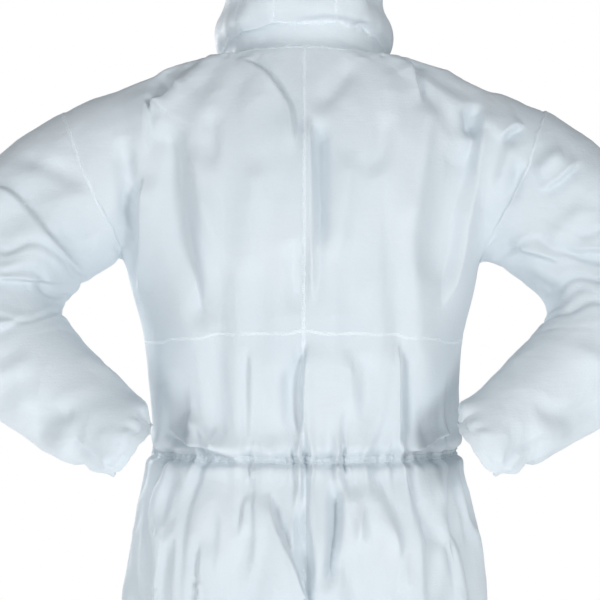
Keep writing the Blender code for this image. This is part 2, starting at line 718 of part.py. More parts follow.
def storm_flap(finish):
    """A strip sewn to the left front, over the zip. Its section steps out, runs flat and steps back in."""
    outline = [
        (FLAP_HINGE_X, -0.0019), (FLAP_HINGE_X / 2, -FLAP_STAND), (0.0, -FLAP_STAND - 0.0004),
        (-0.018, -FLAP_STAND), (-0.028, -0.0042), (-0.034, -0.0036),
    ]

    def point(row, col):
        place = col * (len(outline) - 1)
        index = min(int(place), len(outline) - 2)
        share = place - index
        x = outline[index][0] + (outline[index + 1][0] - outline[index][0]) * share
        y = outline[index][1] + (outline[index + 1][1] - outline[index][1]) * share
        return Vector((x, FRONT_Y + y, low + (high - low) * row))
    for name, low, high in (("storm_flap", FLAP_END_Z, FLAP_TOP_Z),
                            ("storm_flap_end", ZIP_LOW_Z, FLAP_END_Z - 2 * SEAM_GAP)):
        sheet(name, point, 6, len(outline), finish, lambda p: (p.x, BODY_Y, p.z))


def flap_adhesive(finish):
    """A strip of tape inside the flap, over its whole free height but for a centimetre at each end."""
    face, thickness = FRONT_Y - FLAP_STAND + FABRIC + 0.0006, 0.0004
    box("flap_adhesive_tape", (-0.0175, face, FLAP_END_Z + 0.01),
        (-0.0085, face + thickness, FLAP_TOP_Z - 0.01), finish)


def main():
    clear_scene()
    fabric = material("suit_fabric", WHITE, 0.62)
    elastic = material("elastic", (0.80, 0.82, 0.84, 1.0), 0.75)
    binding = material("seam_binding", (0.78, 0.83, 0.87, 1.0), 0.50)
    tape = material("zip_tape", (0.80, 0.83, 0.86, 1.0), 0.70)
    chain = material("zip_chain", (0.84, 0.86, 0.88, 1.0), 0.35)
    metal = material("zip_metal", (0.62, 0.64, 0.66, 1.0), 0.30, 1.0)
    adhesive = material("adhesive_tape", (0.86, 0.84, 0.70, 1.0), 0.25)
    build_trunk(fabric, elastic, binding)
    build_bindings(binding)
    build_sleeves(fabric, elastic)
    build_legs(fabric, elastic)
    build_collar(fabric)
    build_hood(fabric, elastic, binding)
    build_zip(tape, chain, metal, fabric, adhesive)


main()
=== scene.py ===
"""Looks of the hooded protective coverall: a settled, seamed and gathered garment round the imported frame."""

import json
import math

import bmesh
import bpy
import numpy as np
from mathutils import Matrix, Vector, noise
from mathutils.bvhtree import BVHTree


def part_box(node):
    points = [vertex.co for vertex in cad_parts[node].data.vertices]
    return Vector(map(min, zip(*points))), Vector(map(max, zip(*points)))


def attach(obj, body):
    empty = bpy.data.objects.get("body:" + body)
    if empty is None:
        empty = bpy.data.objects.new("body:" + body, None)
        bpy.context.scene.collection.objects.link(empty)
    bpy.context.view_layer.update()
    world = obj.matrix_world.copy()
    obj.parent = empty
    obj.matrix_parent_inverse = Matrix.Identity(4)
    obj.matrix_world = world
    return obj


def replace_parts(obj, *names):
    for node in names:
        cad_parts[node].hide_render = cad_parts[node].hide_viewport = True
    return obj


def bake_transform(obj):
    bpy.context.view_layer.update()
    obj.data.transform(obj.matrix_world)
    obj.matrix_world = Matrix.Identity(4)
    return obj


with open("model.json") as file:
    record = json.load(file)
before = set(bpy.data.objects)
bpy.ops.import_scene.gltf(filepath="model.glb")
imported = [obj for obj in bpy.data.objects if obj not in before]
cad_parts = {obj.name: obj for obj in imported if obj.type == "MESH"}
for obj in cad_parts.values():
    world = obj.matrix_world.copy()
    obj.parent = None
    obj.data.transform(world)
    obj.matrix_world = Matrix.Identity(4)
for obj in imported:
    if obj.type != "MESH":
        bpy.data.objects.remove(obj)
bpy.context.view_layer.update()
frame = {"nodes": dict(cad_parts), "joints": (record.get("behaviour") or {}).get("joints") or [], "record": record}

# ---- places taken from the frame ----
joints = {j["name"]: j for j in frame["joints"]}
mounts = {m["name"]: m for m in frame["record"]["mounts"]}
SHOULDER = Vector(joints["left_shoulder"]["pos_m"])
ELBOW = Vector(joints["left_elbow"]["pos_m"])
KNEE = Vector(joints["left_knee"]["pos_m"])
FOREARM_AXIS = Vector(mounts["left_cuff_rim"]["axis"])
WRIST = ELBOW + FOREARM_AXIS * (Vector(mounts["left_cuff_rim"]["pos_m"]) - ELBOW).dot(FOREARM_AXIS)
CUFF_NORMAL = Vector((-0.80, -0.06, -0.60)).normalized()     # the cuff ends on a plane across the back
CUFF_LIFT = Vector((0.0, 0.006, 0.0))       # keeps the loose cuff clear of the back
CUFF_END = WRIST + CUFF_LIFT - CUFF_NORMAL * 0.006
BODY_Y = SHOULDER.y
YOKE_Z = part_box("back_upper_left")[0].z
WAIST_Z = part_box("back_lower_left")[0].z
ZIP_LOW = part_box("zip_chain_left")[0]
NECK_Z = 1.432                # neckline over the trunk's axis
HOOD_BASE_Z = 1.464
NECK_TILT = 0.24              # the neckline rises toward the back
STRIP_HALF = 0.037
FACE_LOW_Z, FACE_TOP_Z, FACE_HALF = 1.487, 1.694, 0.074
FACE_Z = (FACE_LOW_Z + FACE_TOP_Z) / 2
PLACKET_HALF = 0.008
GUSSET_HALF, GUSSET_TOP_Z = 0.034, 0.790
ARMHOLE_LOW = Vector((0.205, 0.0, 1.180))
ARMHOLE_TOP = Vector((0.2925, 0.0, 1.391))
ARMPIT_Z = 1.195
ELBOW_CUT = 0.200             # the elbow stretch of a sleeve starts this far down from the shoulder
KNEE_CUT_Z = KNEE.z + 0.07
VOXEL = 0.0105
CLOTH = 0.0009
SETTLE_FRAMES = 32
SAG_ROUNDS, SAG_TAKEN_OUT = 90, 0.92
GRAVITY_SHARE = 0.4

ARM_AXIS = (ELBOW - SHOULDER).normalized()
ARMHOLE_NORMAL = Vector((ARMHOLE_TOP.z - ARMHOLE_LOW.z, 0.0, ARMHOLE_LOW.x - ARMHOLE_TOP.x)).normalized()
HIP_LINE = Vector((1.0, 0.0, -1.0)).normalized()
HIP_START = -0.500
HANDS = (("left", 1), ("right", -1))


# ---- small helpers ----

def mirrored(v, hand):
    return Vector((hand * v[0], v[1], v[2]))


def tilted_height(p):
    return p.z - NECK_TILT * (p.y - BODY_Y)


def soft(value, low, high):
    """0 below low, 1 above high, and an even slope between. Takes a number or an array."""
    share = np.clip((value - low) / (high - low), 0, 1)
    return share * share * (3 - 2 * share)


def read(items, name, kind=float, width=1):
    """One property of every point, edge or face as an array."""
    values = np.empty(len(items) * width, dtype=kind)
    items.foreach_get(name, values)
    return values.reshape(-1, width) if width > 1 else values


def points_of(mesh):
    return read(mesh.vertices, "co", width=3)


def normals_of(mesh):
    return read(mesh.vertex_normals, "vector", width=3)


def places_of(mesh):
    """Where each point lay before the cloth settled."""
    return read(mesh.attributes["flat_place"].data, "vector", width=3)


def edges_of(mesh):
    return read(mesh.edges, "vertices", np.int32, 2)


def panels_of(mesh):
    return read(mesh.attributes["panel"].data, "value", np.int32)


def move_points(mesh, co):
    mesh.vertices.foreach_set("co", co.ravel())
    mesh.update()


def mark_places(mesh, place, name="flat_place"):
    mesh.attributes.new(name, "FLOAT_VECTOR", "POINT").data.foreach_set("vector", np.ravel(place))


def surface_of(points, faces):
    return BVHTree.FromPolygons([Vector(p) for p in points], [list(f) for f in faces])


def mesh_surface(mesh):
    return surface_of([v.co for v in mesh.vertices], [p.vertices for p in mesh.polygons])


def applied(obj):
    """The object's mesh with its modifiers applied. The object itself goes."""
    mesh = bpy.data.meshes.new_from_object(obj.evaluated_get(bpy.context.evaluated_depsgraph_get()))
    bpy.data.objects.remove(obj)
    return mesh


def from_bmesh(name, bm, recalculate=True):
    if recalculate:
        bmesh.ops.recalc_face_normals(bm, faces=bm.faces)
    mesh = bpy.data.meshes.new(name)
    bm.to_mesh(mesh)
    bm.free()
    return mesh


def link(name, mesh):
    obj = bpy.data.objects.new(name, mesh)
    bpy.context.scene.collection.objects.link(obj)
    return obj


def loft(bm, rings):
    """A closed skin through rings of equal point count."""
    made = [[bm.verts.new(p) for p in ring] for ring in rings]
    count = len(rings[0])
    for low, high in zip(made, made[1:]):
        for j in range(count):
            k = (j + 1) % count
            bm.faces.new((low[j], low[k], high[k], high[j]))
    bm.faces.new(made[0][::-1])
    bm.faces.new(made[-1])


def flat_ring(centre, half_width, back, front, power, tilt=0.0, count=40):
    """A level superellipse, deeper on one side than on the other, whose back may rise."""
    ring = []
    for i in range(count):
        angle = 2 * math.pi * i / count
        c, s = (math.copysign(abs(v) ** (2 / power), v) for v in (math.cos(angle), math.sin(angle)))
        y = s * (back if s > 0 else front)
        ring.append(Vector((centre[0] + c * half_width, centre[1] + y, centre[2] + tilt * y)))
    return ring


def limb_rings(path, hand, count=28):
    """Rings across a bent limb. path holds (point, radius across, radius fore)."""
    rings = []
    for i, (point, across_radius, fore_radius) in enumerate(path):
        before, after = path[max(i - 1, 0)][0], path[min(i + 1, len(path) - 1)][0]
        along = (after - before).normalized()
        fore = (Vector((0, 1, 0)) - along * along.y).normalized()
        across = fore.cross(along)
        ring = []
        for j in range(count):
            a = 2 * math.pi * j / count
            p = point + across * (across_radius * math.cos(a)) + fore * (fore_radius * math.sin(a))
            ring.append(mirrored(p, hand))
        rings.append(ring if hand > 0 else ring[::-1])
    return rings


def catmull_rom(t):
    """How much each of four neighbours counts at this share of the way from the second to the third."""
    return (-0.5 * t + t * t - 0.5 * t ** 3, 1 - 2.5 * t * t + 1.5 * t ** 3,
            0.5 * t + 2 * t * t - 1.5 * t ** 3, -0.5 * t * t + 0.5 * t ** 3)


def curve_through(points, steps):
    """A smooth line through the points, each of any number of values, as an array."""
    ends = [points[0], *points, points[-1]]
    out = []
    for four in zip(ends, ends[1:], ends[2:], ends[3:]):
        for k in range(steps):
            weights = catmull_rom(k / steps)
            out.append([sum(w * p[n] for w, p in zip(weights, four)) for n in range(len(points[0]))])
    out.append(points[-1])
    return np.array(out)


def smooth_path(path, steps=4):
    """Stations of (x, y behind the trunk's middle, z, radius across, radius fore) as points and radii."""
    line = curve_through([(x, BODY_Y + y, z) for x, y, z, _, _ in path], steps)
    out = []
    for i, point in enumerate(line):
        k, t = divmod(i, steps)
        (a, b), (c, d) = path[k][3:], path[min(k + 1, len(path) - 1)][3:]
        out.append((Vector(point), a + (c - a) * t / steps, b + (d - b) * t / steps))
    return out


# ---- the loose outline of the suit, and the body that it hangs on ----

def trunk_rings():
    """The trunk and the hood as one skin: stations of height, half width, depth behind and depth in front."""
    trunk = [
        (0.742, 0.170, 0.095, 0.090), (0.765, 0.205, 0.125, 0.115), (0.800, 0.227, 0.141, 0.127),
        (0.880, 0.213, 0.146, 0.130), (0.930, 0.200, 0.134, 0.130), (0.975, 0.191, 0.121, 0.129),
        (1.050, 0.195, 0.131, 0.130), (1.116, 0.196, 0.139, 0.130), (1.180, 0.206, 0.149, 0.130),
        (1.250, 0.222, 0.152, 0.130), (1.330, 0.238, 0.146, 0.130), (1.384, 0.242, 0.132, 0.130),
        (1.411, 0.226, 0.116, 0.130), (1.425, 0.190, 0.103, 0.130), (1.431, 0.144, 0.094, 0.130),
    ]
    head = [
        (1.432, 0.092, 0.088, 0.130), (1.450, 0.090, 0.086, 0.129), (1.461, 0.093, 0.090, 0.129),
        (1.470, 0.105, 0.104, 0.131), (1.482, 0.112, 0.115, 0.131), (1.500, 0.109, 0.116, 0.129),
        (1.530, 0.101, 0.113, 0.126), (1.565, 0.101, 0.117, 0.124), (1.600, 0.103, 0.121, 0.124),
        (1.650, 0.098, 0.117, 0.120), (1.690, 0.084, 0.104, 0.106), (1.725, 0.062, 0.080, 0.081),
        (1.748, 0.034, 0.046, 0.046), (1.755, 0.012, 0.016, 0.016),
    ]
    rings = [flat_ring((0, BODY_Y, z), w, b, f, 2.4, NECK_TILT * soft(z, 1.33, 1.43)) for z, w, b, f in trunk]
    return rings + [flat_ring((0, BODY_Y, z), w, b, f, 2.15, NECK_TILT * (1 - soft(z, 1.47, 1.60)))
                    for z, w, b, f in head]


def wrist_stations(lift, stretch, *radii):
    """The last stations of an arm: at the wrist, and this far beyond it."""
    ends = (WRIST + lift, WRIST + lift + FOREARM_AXIS * stretch)
    return [(p.x, p.y - BODY_Y, p.z, across, fore) for p, (across, fore) in zip(ends, radii)]


def arm_rings(hand):
    arm = [
        (0.150, 0.000, 1.338, 0.070, 0.085), (0.232, 0.012, 1.326, 0.088, 0.088),
        (0.302, 0.028, 1.282, 0.090, 0.085), (0.352, 0.043, 1.228, 0.085, 0.080),
        (0.381, 0.056, 1.162, 0.080, 0.074), (0.345, 0.080, 1.094, 0.072, 0.067),
        (0.284, 0.114, 1.052, 0.061, 0.056), *wrist_stations(CUFF_LIFT, 0.06, (0.052, 0.045), (0.052, 0.043)),
    ]
    return limb_rings(smooth_path(arm), hand)


def leg_rings(hand, leg, power, count):
    return [flat_ring((hand * point.x, point.y, point.z), across, fore, fore, power, count=count)
            for point, across, fore in smooth_path(leg)]


def suit_outline(bm):
    leg = [
        (0.113, 0.004, 0.880, 0.103, 0.127), (0.118, 0, 0.760, 0.108, 0.132), (0.121, 0, 0.640, 0.096, 0.111),
        (KNEE.x, 0, KNEE.z, 0.084, 0.089), (0.150, 0, 0.200, 0.074, 0.080), (0.155, 0, 0.050, 0.062, 0.068),
        (0.155, 0, 0.010, 0.057, 0.063), (0.155, 0, -0.030, 0.057, 0.063),
    ]
    loft(bm, trunk_rings())
    for _, hand in HANDS:
        loft(bm, arm_rings(hand))
        loft(bm, leg_rings(hand, leg, 2.2, 32))


def body_outline(bm):
    """A plain standing figure, used only while the cloth settles on it."""
    trunk = [
        (0.760, 0.130, 0.080, 0.070), (0.800, 0.172, 0.108, 0.092), (0.880, 0.180, 0.118, 0.098),
        (0.975, 0.158, 0.094, 0.098), (1.060, 0.158, 0.098, 0.102), (1.150, 0.170, 0.112, 0.108),
        (1.240, 0.194, 0.126, 0.110), (1.325, 0.212, 0.124, 0.102), (1.378, 0.212, 0.108, 0.084),
        (1.404, 0.178, 0.086, 0.070), (1.420, 0.120, 0.072, 0.064), (1.434, 0.078, 0.062, 0.064),
        (1.500, 0.062, 0.060, 0.066), (1.530, 0.075, 0.080, 0.092), (1.590, 0.086, 0.100, 0.104),
        (1.650, 0.082, 0.098, 0.100), (1.700, 0.064, 0.078, 0.080), (1.730, 0.034, 0.042, 0.044),
    ]
    arm = [
        (0.130, 0.000, 1.345, 0.056, 0.052), (0.222, 0.010, 1.334, 0.070, 0.064),
        (0.312, 0.034, 1.268, 0.060, 0.055), (0.388, 0.055, 1.166, 0.050, 0.048),
        (0.300, 0.104, 1.074, 0.046, 0.043),
        *wrist_stations(Vector(), 0.08, (0.034, 0.030), (0.030, 0.024)),
    ]
    leg = [
        (0.095, 0, 0.880, 0.080, 0.095), (0.100, 0, 0.760, 0.083, 0.098), (0.110, 0, 0.640, 0.075, 0.084),
        (0.132, 0, KNEE.z, 0.060, 0.066), (0.148, 0, 0.300, 0.056, 0.062), (0.155, 0, 0.050, 0.047, 0.052),
        (0.155, 0, -0.060, 0.050, 0.056),
    ]
    loft(bm, [flat_ring((0, BODY_Y, z), w, b, f, 2.2) for z, w, b, f in trunk])
    for _, hand in HANDS:
        loft(bm, limb_rings(smooth_path(arm), hand))
        loft(bm, leg_rings(hand, leg, 2.0, 24))


def remeshed(name, build, voxel, rounds):
    """The joined outline as one even skin, relaxed so that its parts run into each other."""
    bm = bmesh.new()
    build(bm)
    rough = link(name, from_bmesh(name, bm))
    remesh = rough.modifiers.new("Remesh", "REMESH")
    remesh.mode = "VOXEL"
    remesh.voxel_size = voxel
    even = applied(rough)
    relax(even, rounds)
    return even


def averaged(values, pairs, share):
    """Each value moved toward the mean of its neighbours by this share, which may differ between points."""
    total = np.zeros_like(values)
    count = np.zeros(len(values))
    for a, b in ((0, 1), (1, 0)):
        np.add.at(total, pairs[:, a], values[pairs[:, b]])
        np.add.at(count, pairs[:, a], 1)
    mean = total / np.maximum(count, 1)[:, None]
    return values + (mean - values) * share


def relax(mesh, rounds, share=0.5, mask=None):
    co, pairs = points_of(mesh), edges_of(mesh)
    weight = share if mask is None else (share * mask)[:, None]
    for _ in range(rounds):
        co = averaged(co, pairs, weight)
    move_points(mesh, co)


# ---- panel lines ----

def loft_surface(rings):
    bm = bmesh.new()
    loft(bm, rings)
    tree = BVHTree.FromBMesh(bm)
    bm.free()
    return tree


ARM_TREE, TRUNK_TREE = loft_surface(arm_rings(1)), loft_surface(trunk_rings())


def on_arm(p):
    """Above the armpit the armhole's plane decides. Below it, a point belongs to the nearer outline."""
    q = Vector((abs(p.x), p.y, p.z))
    if q.z > ARMPIT_Z:
        return q.x > 0.2 and (q - ARMHOLE_LOW).dot(ARMHOLE_NORMAL) > 0
    return q.x > 0.1 and q.z > 0.85 and ARM_TREE.find_nearest(q)[3] < TRUNK_TREE.find_nearest(q)[3]


def yoke_dip(x):
    """How far the yoke seam hangs below its own height in the CAD at this distance off the middle."""
    return 0.34 * x * x - 0.008


def region_of(p):
    """The panel that a point of the suit belongs to."""
    side = "left" if p.x > 0 else "right"
    x = abs(p.x)
    back = p.y > BODY_Y
    if on_arm(p):
        q = Vector((x, p.y, p.z))
        lower = (q - SHOULDER).dot(ARM_AXIS) > ELBOW_CUT or q.y > BODY_Y + 0.13 and q.z < 1.15
        return f"{side}_forearm_sleeve" if lower else f"{side}_upper_sleeve"
    height = tilted_height(p)
    if height > HOOD_BASE_Z and p.z > 1.40:
        if x < STRIP_HALF and (back or p.z > FACE_TOP_Z - 0.01):
            return "hood_centre_strip"
        return f"hood_{side}"
    if height > NECK_Z and p.z > 1.37:
        return "collar_band"
    if x < GUSSET_HALF and p.z < GUSSET_TOP_Z and (x - p.z) * HIP_LINE.x < HIP_START:
        return "crotch_gusset"
    if p.z < 0.96 and (x - p.z) * HIP_LINE.x > HIP_START:
        if p.z < KNEE_CUT_Z:
            return f"{side}_shin_back" if back else f"{side}_shin_front"
        return f"{side}_thigh_back" if back else f"{side}_thigh_front"
    if back:
        if p.z + yoke_dip(x) > YOKE_Z:
            return f"back_upper_{side}"
        return f"back_lower_{side}" if p.z > WAIST_Z else f"seat_{side}"
    if x < PLACKET_HALF and p.z > ZIP_LOW.z:
        return "zip_opening"
    return f"front_{side}" if p.z > ZIP_LOW.z - 0.002 else f"front_lap_{side}"


def cut(bm, point, normal, wanted, clear=False):
    """Splits the wanted faces along a plane, and may delete what lies beyond it."""
    faces = [f for f in bm.faces if wanted(f.calc_center_median())]
    edges = {e for f in faces for e in f.edges}
    verts = {v for f in faces for v in f.verts}
    bmesh.ops.bisect_plane(bm, geom=[*faces, *edges, *verts], plane_co=point, plane_no=normal,
                           dist=VOXEL * 0.22, clear_outer=clear)


def cut_panels(mesh):
    """Cuts the openings and the panel lines into the skin, and marks each face with its panel."""
    bm = bmesh.new()
    bm.from_mesh(mesh)

    def on_trunk(p):
        return not on_arm(p) and tilted_height(p) < NECK_Z + 0.02

    def on_back(p):
        return p.y > BODY_Y and not on_arm(p)

    for _, hand in HANDS:
        cut(bm, mirrored(CUFF_END, hand), mirrored(CUFF_NORMAL, hand),
            lambda p: p.x * hand > 0 and on_arm(p) and (p - mirrored(WRIST, hand)).length < 0.13, clear=True)
        cut(bm, mirrored(ARMHOLE_LOW, hand), mirrored(ARMHOLE_NORMAL, hand),
            lambda p: p.x * hand > 0.12 and 1.15 < p.z < 1.45 and tilted_height(p) < NECK_Z)
        cut(bm, mirrored(SHOULDER + ARM_AXIS * ELBOW_CUT, hand), mirrored(ARM_AXIS, hand),
            lambda p: p.x * hand > 0 and on_arm(p) and p.z > 1.1 and p.y < BODY_Y + 0.14)
        cut(bm, mirrored(HIP_LINE * HIP_START, hand), mirrored(HIP_LINE, hand),
            lambda p: p.x * hand > 0 and p.z < 0.99 and not on_arm(p))
        for half, near in ((PLACKET_HALF, lambda p: p.y < BODY_Y and abs(p.x) < 0.04 and on_trunk(p)),
                           (STRIP_HALF, lambda p: tilted_height(p) > HOOD_BASE_Z and abs(p.x) < 0.06),
                           (GUSSET_HALF, lambda p: p.z < GUSSET_TOP_Z and abs(p.x) < 0.06)):
            cut(bm, (hand * half, 0, 0), (1, 0, 0), near)
    cut(bm, (0, 0, 0), (0, 0, -1), lambda p: p.z < 0.05, clear=True)
    for height in (NECK_Z, HOOD_BASE_Z):
        cut(bm, (0, BODY_Y, height), (0, -NECK_TILT, 1), lambda p: 1.36 < p.z < 1.53 and abs(p.x) < 0.16)
    cut(bm, (0, 0, 0), (1, 0, 0), on_trunk)
    cut(bm, (0, BODY_Y, 0), (0, 1, 0), on_trunk)
    cut(bm, (0, 0, GUSSET_TOP_Z), (0, 0, 1), lambda p: abs(p.z - GUSSET_TOP_Z) < 0.03 and abs(p.x) < 0.05)
    for vert in bm.verts:
        vert.co.z += yoke_dip(vert.co.x)
    cut(bm, (0, 0, YOKE_Z), (0, 0, 1), on_back)
    for vert in bm.verts:
        vert.co.z -= yoke_dip(vert.co.x)
    cut(bm, (0, 0, WAIST_Z), (0, 0, 1), on_back)
    cut(bm, (0, 0, ZIP_LOW.z), (0, 0, 1), lambda p: p.y < BODY_Y and not on_arm(p))
    cut(bm, (0, 0, KNEE_CUT_Z), (0, 0, 1), lambda p: abs(p.z - KNEE_CUT_Z) < 0.05)
    open_face(bm)
    owners = [region_of(f.calc_center_median()) for f in bm.faces]
    names = sorted(set(owners))
    layer = bm.faces.layers.int.new("panel")
    for face, owner in zip(bm.faces, owners):
        face[layer] = names.index(owner)
    bm.to_mesh(mesh)
    bm.free()
    return names


def face_radius(p):
    """Distance from the middle of the face opening, where 1 is on its edge."""
    up = (p.z - FACE_Z) / (FACE_TOP_Z - FACE_Z)
    narrow = 1 - 0.22 * min(max(-up, 0.0), 1.2)
    return math.hypot(p.x / (FACE_HALF * narrow), up)


def open_face(bm):
    """Deletes the hood inside the face opening, then draws its edge onto the opening's oval."""
    front = [f for f in bm.faces if f.calc_center_median().y < BODY_Y - 0.03]
    gone = [f for f in front if face_radius(f.calc_center_median()) < 1.0]
    bmesh.ops.delete(bm, geom=gone, context="FACES")
    for vert in bm.verts:
        p = vert.co
        if vert.is_boundary and p.y < BODY_Y and p.z > 1.45 and tilted_height(p) > HOOD_BASE_Z:
            share = 1 / max(face_radius(p), 0.2)
            p.x *= share
            p.z = FACE_Z + (p.z - FACE_Z) * share
    bmesh.ops.delete(bm, geom=[v for v in bm.verts if not v.link_faces], context="VERTS")


# ---- cloth ----

SETTLING = dict(
    quality=6, mass=0.12, air_damping=1.5, tension_stiffness=22, compression_stiffness=22, shear_stiffness=8,
    bending_stiffness=0.35, vertex_group_mass="held", pin_stiffness=5.0, vertex_group_shrink="drawn",
    shrink_min=-0.035, shrink_max=0.16)


def is_held(p):
    """Whether the suit keeps still here while it settles."""
    height = tilted_height(p)
    zip_line = abs(p.x) < 0.014 and p.y < BODY_Y - 0.08 and p.z < 1.45
    collar = NECK_Z - 0.004 < height < HOOD_BASE_Z + 0.006 and p.z > 1.37 and abs(p.x) < 0.13
    cuff = on_arm(p) and (mirrored(CUFF_END, math.copysign(1, p.x)) - p).dot(
        mirrored(CUFF_NORMAL, math.copysign(1, p.x))) < 0.006
    face = p.z > 1.45 and p.y < BODY_Y - 0.03 and face_radius(p) < 1.06
    return zip_line or collar or cuff or face or p.z < 0.006


def settle(mesh):
    """Lets the suit settle on the figure: held along the zip and round the collar, drawn at its elastics."""
    suit = link("settling_suit", mesh)
    body = link("figure", remeshed("figure", body_outline, 0.016, 4))
    body.modifiers.new("Collision", "COLLISION")
    body.collision.thickness_outer = 0.003
    body.collision.cloth_friction = 12.0
    held, drawn = (suit.vertex_groups.new(name=name) for name in ("held", "drawn"))
    for i, co in enumerate(points_of(mesh)):
        p = Vector(co)
        if is_held(p):
            held.add([i], 1.0, "REPLACE")
        weight = elastic_weight(p)
        if weight > 0:
            drawn.add([i], weight, "REPLACE")
    cloth = suit.modifiers.new("Cloth", "CLOTH")
    for name, value in SETTLING.items():
        setattr(cloth.settings, name, value)
    cloth.settings.effector_weights.gravity = GRAVITY_SHARE
    cloth.collision_settings.use_self_collision = False
    cloth.collision_settings.distance_min = 0.004
    cloth.collision_settings.collision_quality = 2
    cloth.point_cache.frame_start, cloth.point_cache.frame_end = 1, SETTLE_FRAMES
    for number in range(1, SETTLE_FRAMES + 1):
        bpy.context.scene.frame_set(number)
    result = points_of(applied(suit))
    bpy.context.scene.frame_set(1)
    bpy.data.objects.remove(body)
    return result


def elastic_weight(p):
    """1 in the middle of an elastic, falling to 0 a few centimetres away."""
    best = 0.0
    if on_arm(p):
        q = Vector((abs(p.x), p.y, p.z))
        best = 0.45 * (1 - soft(abs((CUFF_END - q).dot(CUFF_NORMAL) - 0.011), 0.006, 0.02))
    elif p.y > BODY_Y - 0.02 and abs(p.z - WAIST_Z) < 0.03:
        best = 1 - soft(abs(p.z - WAIST_Z), 0.006, 0.016)
    elif p.z < 0.05:
        best = 0.7 * (1 - soft(abs(p.z - 0.011), 0.006, 0.02))
    elif p.z > 1.45 and p.y < BODY_Y - 0.02:
        best = 0.35 * (1 - soft(face_radius(p), 1.05, 1.25))
    return best


def zip_side(mesh, names):
    """Deletes the strip of skin that fills the zip's opening."""
    bm = bmesh.new()
    bm.from_mesh(mesh)
    layer = bm.faces.layers.int["panel"]
    opening = names.index("zip_opening")
    bmesh.ops.delete(bm, geom=[f for f in bm.faces if f[layer] == opening], context="FACES")
    bm.to_mesh(mesh)
    bm.free()


def near_elastic(p):
    if p.z > 1.45:
        return p.y < BODY_Y - 0.02 and face_radius(p) < 1.3
    return p.y > BODY_Y - 0.02 and p.z > 0.72


def refine(mesh):
    """Finer faces along the elastics, where the gathers are small, then one round of subdivision all over."""
    bm = bmesh.new()
    bm.from_mesh(mesh)
    place = bm.verts.layers.float_vector["flat_place"]
    small = {v for v in bm.verts if near_elastic(v[place])}
    edges = [e for e in bm.edges if e.verts[0] in small and e.verts[1] in small]
    bmesh.ops.subdivide_edges(bm, edges=edges, cuts=1, use_grid_fill=True)
    bm.to_mesh(mesh)
    bm.free()
    coarse = link("coarse", mesh)
    subdivision = coarse.modifiers.new("Subdivision", "SUBSURF")
    subdivision.levels = subdivision.render_levels = 1
    return applied(coarse)


def garment():
    """The whole suit as one even skin with its panels marked. Returns the mesh and the panels' names."""
    mesh = remeshed("suit", suit_outline, VOXEL, 7)
    names = cut_panels(mesh)
    mark_places(mesh, points_of(mesh))
    move_points(mesh, settle(mesh))
    keep_outline(mesh)
    relax(mesh, 5, 0.5, calm_weight(mesh, 0.0))
    relax(mesh, 26, 0.5, calm_weight(mesh, 1.0))
    zip_side(mesh, names)
    return refine(mesh), names


def keep_outline(mesh):
    """Takes the broad sag out of the settled cloth and leaves its folds, so the suit keeps its outline."""
    co, place, pairs = points_of(mesh), places_of(mesh), edges_of(mesh)
    sag = co - place
    for _ in range(SAG_ROUNDS):
        sag = averaged(sag, pairs, 0.5)
    move_points(mesh, co - SAG_TAKEN_OUT * sag)


def calm_weight(mesh, side):
    """Where the settled cloth is smoothed: away from its edges, and with side 1 only down the flanks."""
    place = places_of(mesh)
    out = np.zeros(len(place))
    for i, (x, y, z) in enumerate(place):
        p = Vector((x, y, z))
        waist = abs(z - WAIST_Z) < 0.03 and not on_arm(p)
        edge = z < 0.05 or elastic_weight(p) > 0 and not waist or abs(x) < 0.03 and y < BODY_Y - 0.08
        edge = edge or z > 1.37 and NECK_Z - 0.01 < tilted_height(p) < HOOD_BASE_Z + 0.01
        edge = edge or z > 1.45 and y < BODY_Y and face_radius(p) < 1.25
        if edge or side and (on_arm(p) or z > 1.26):
            continue
        out[i] = soft(abs(x), 0.13, 0.18) * soft(z, 0.985, 1.02) if side else 1.0
    return out


# ---- folds, gathers and creases ----
# Each fold is (kind, height, width, side on top, x, z, x, z ...) in millimetres, seen from behind. The side
# on top is 1 for the larger x, or the larger z where the fold runs more across than down, else -1.

MM = 0.001

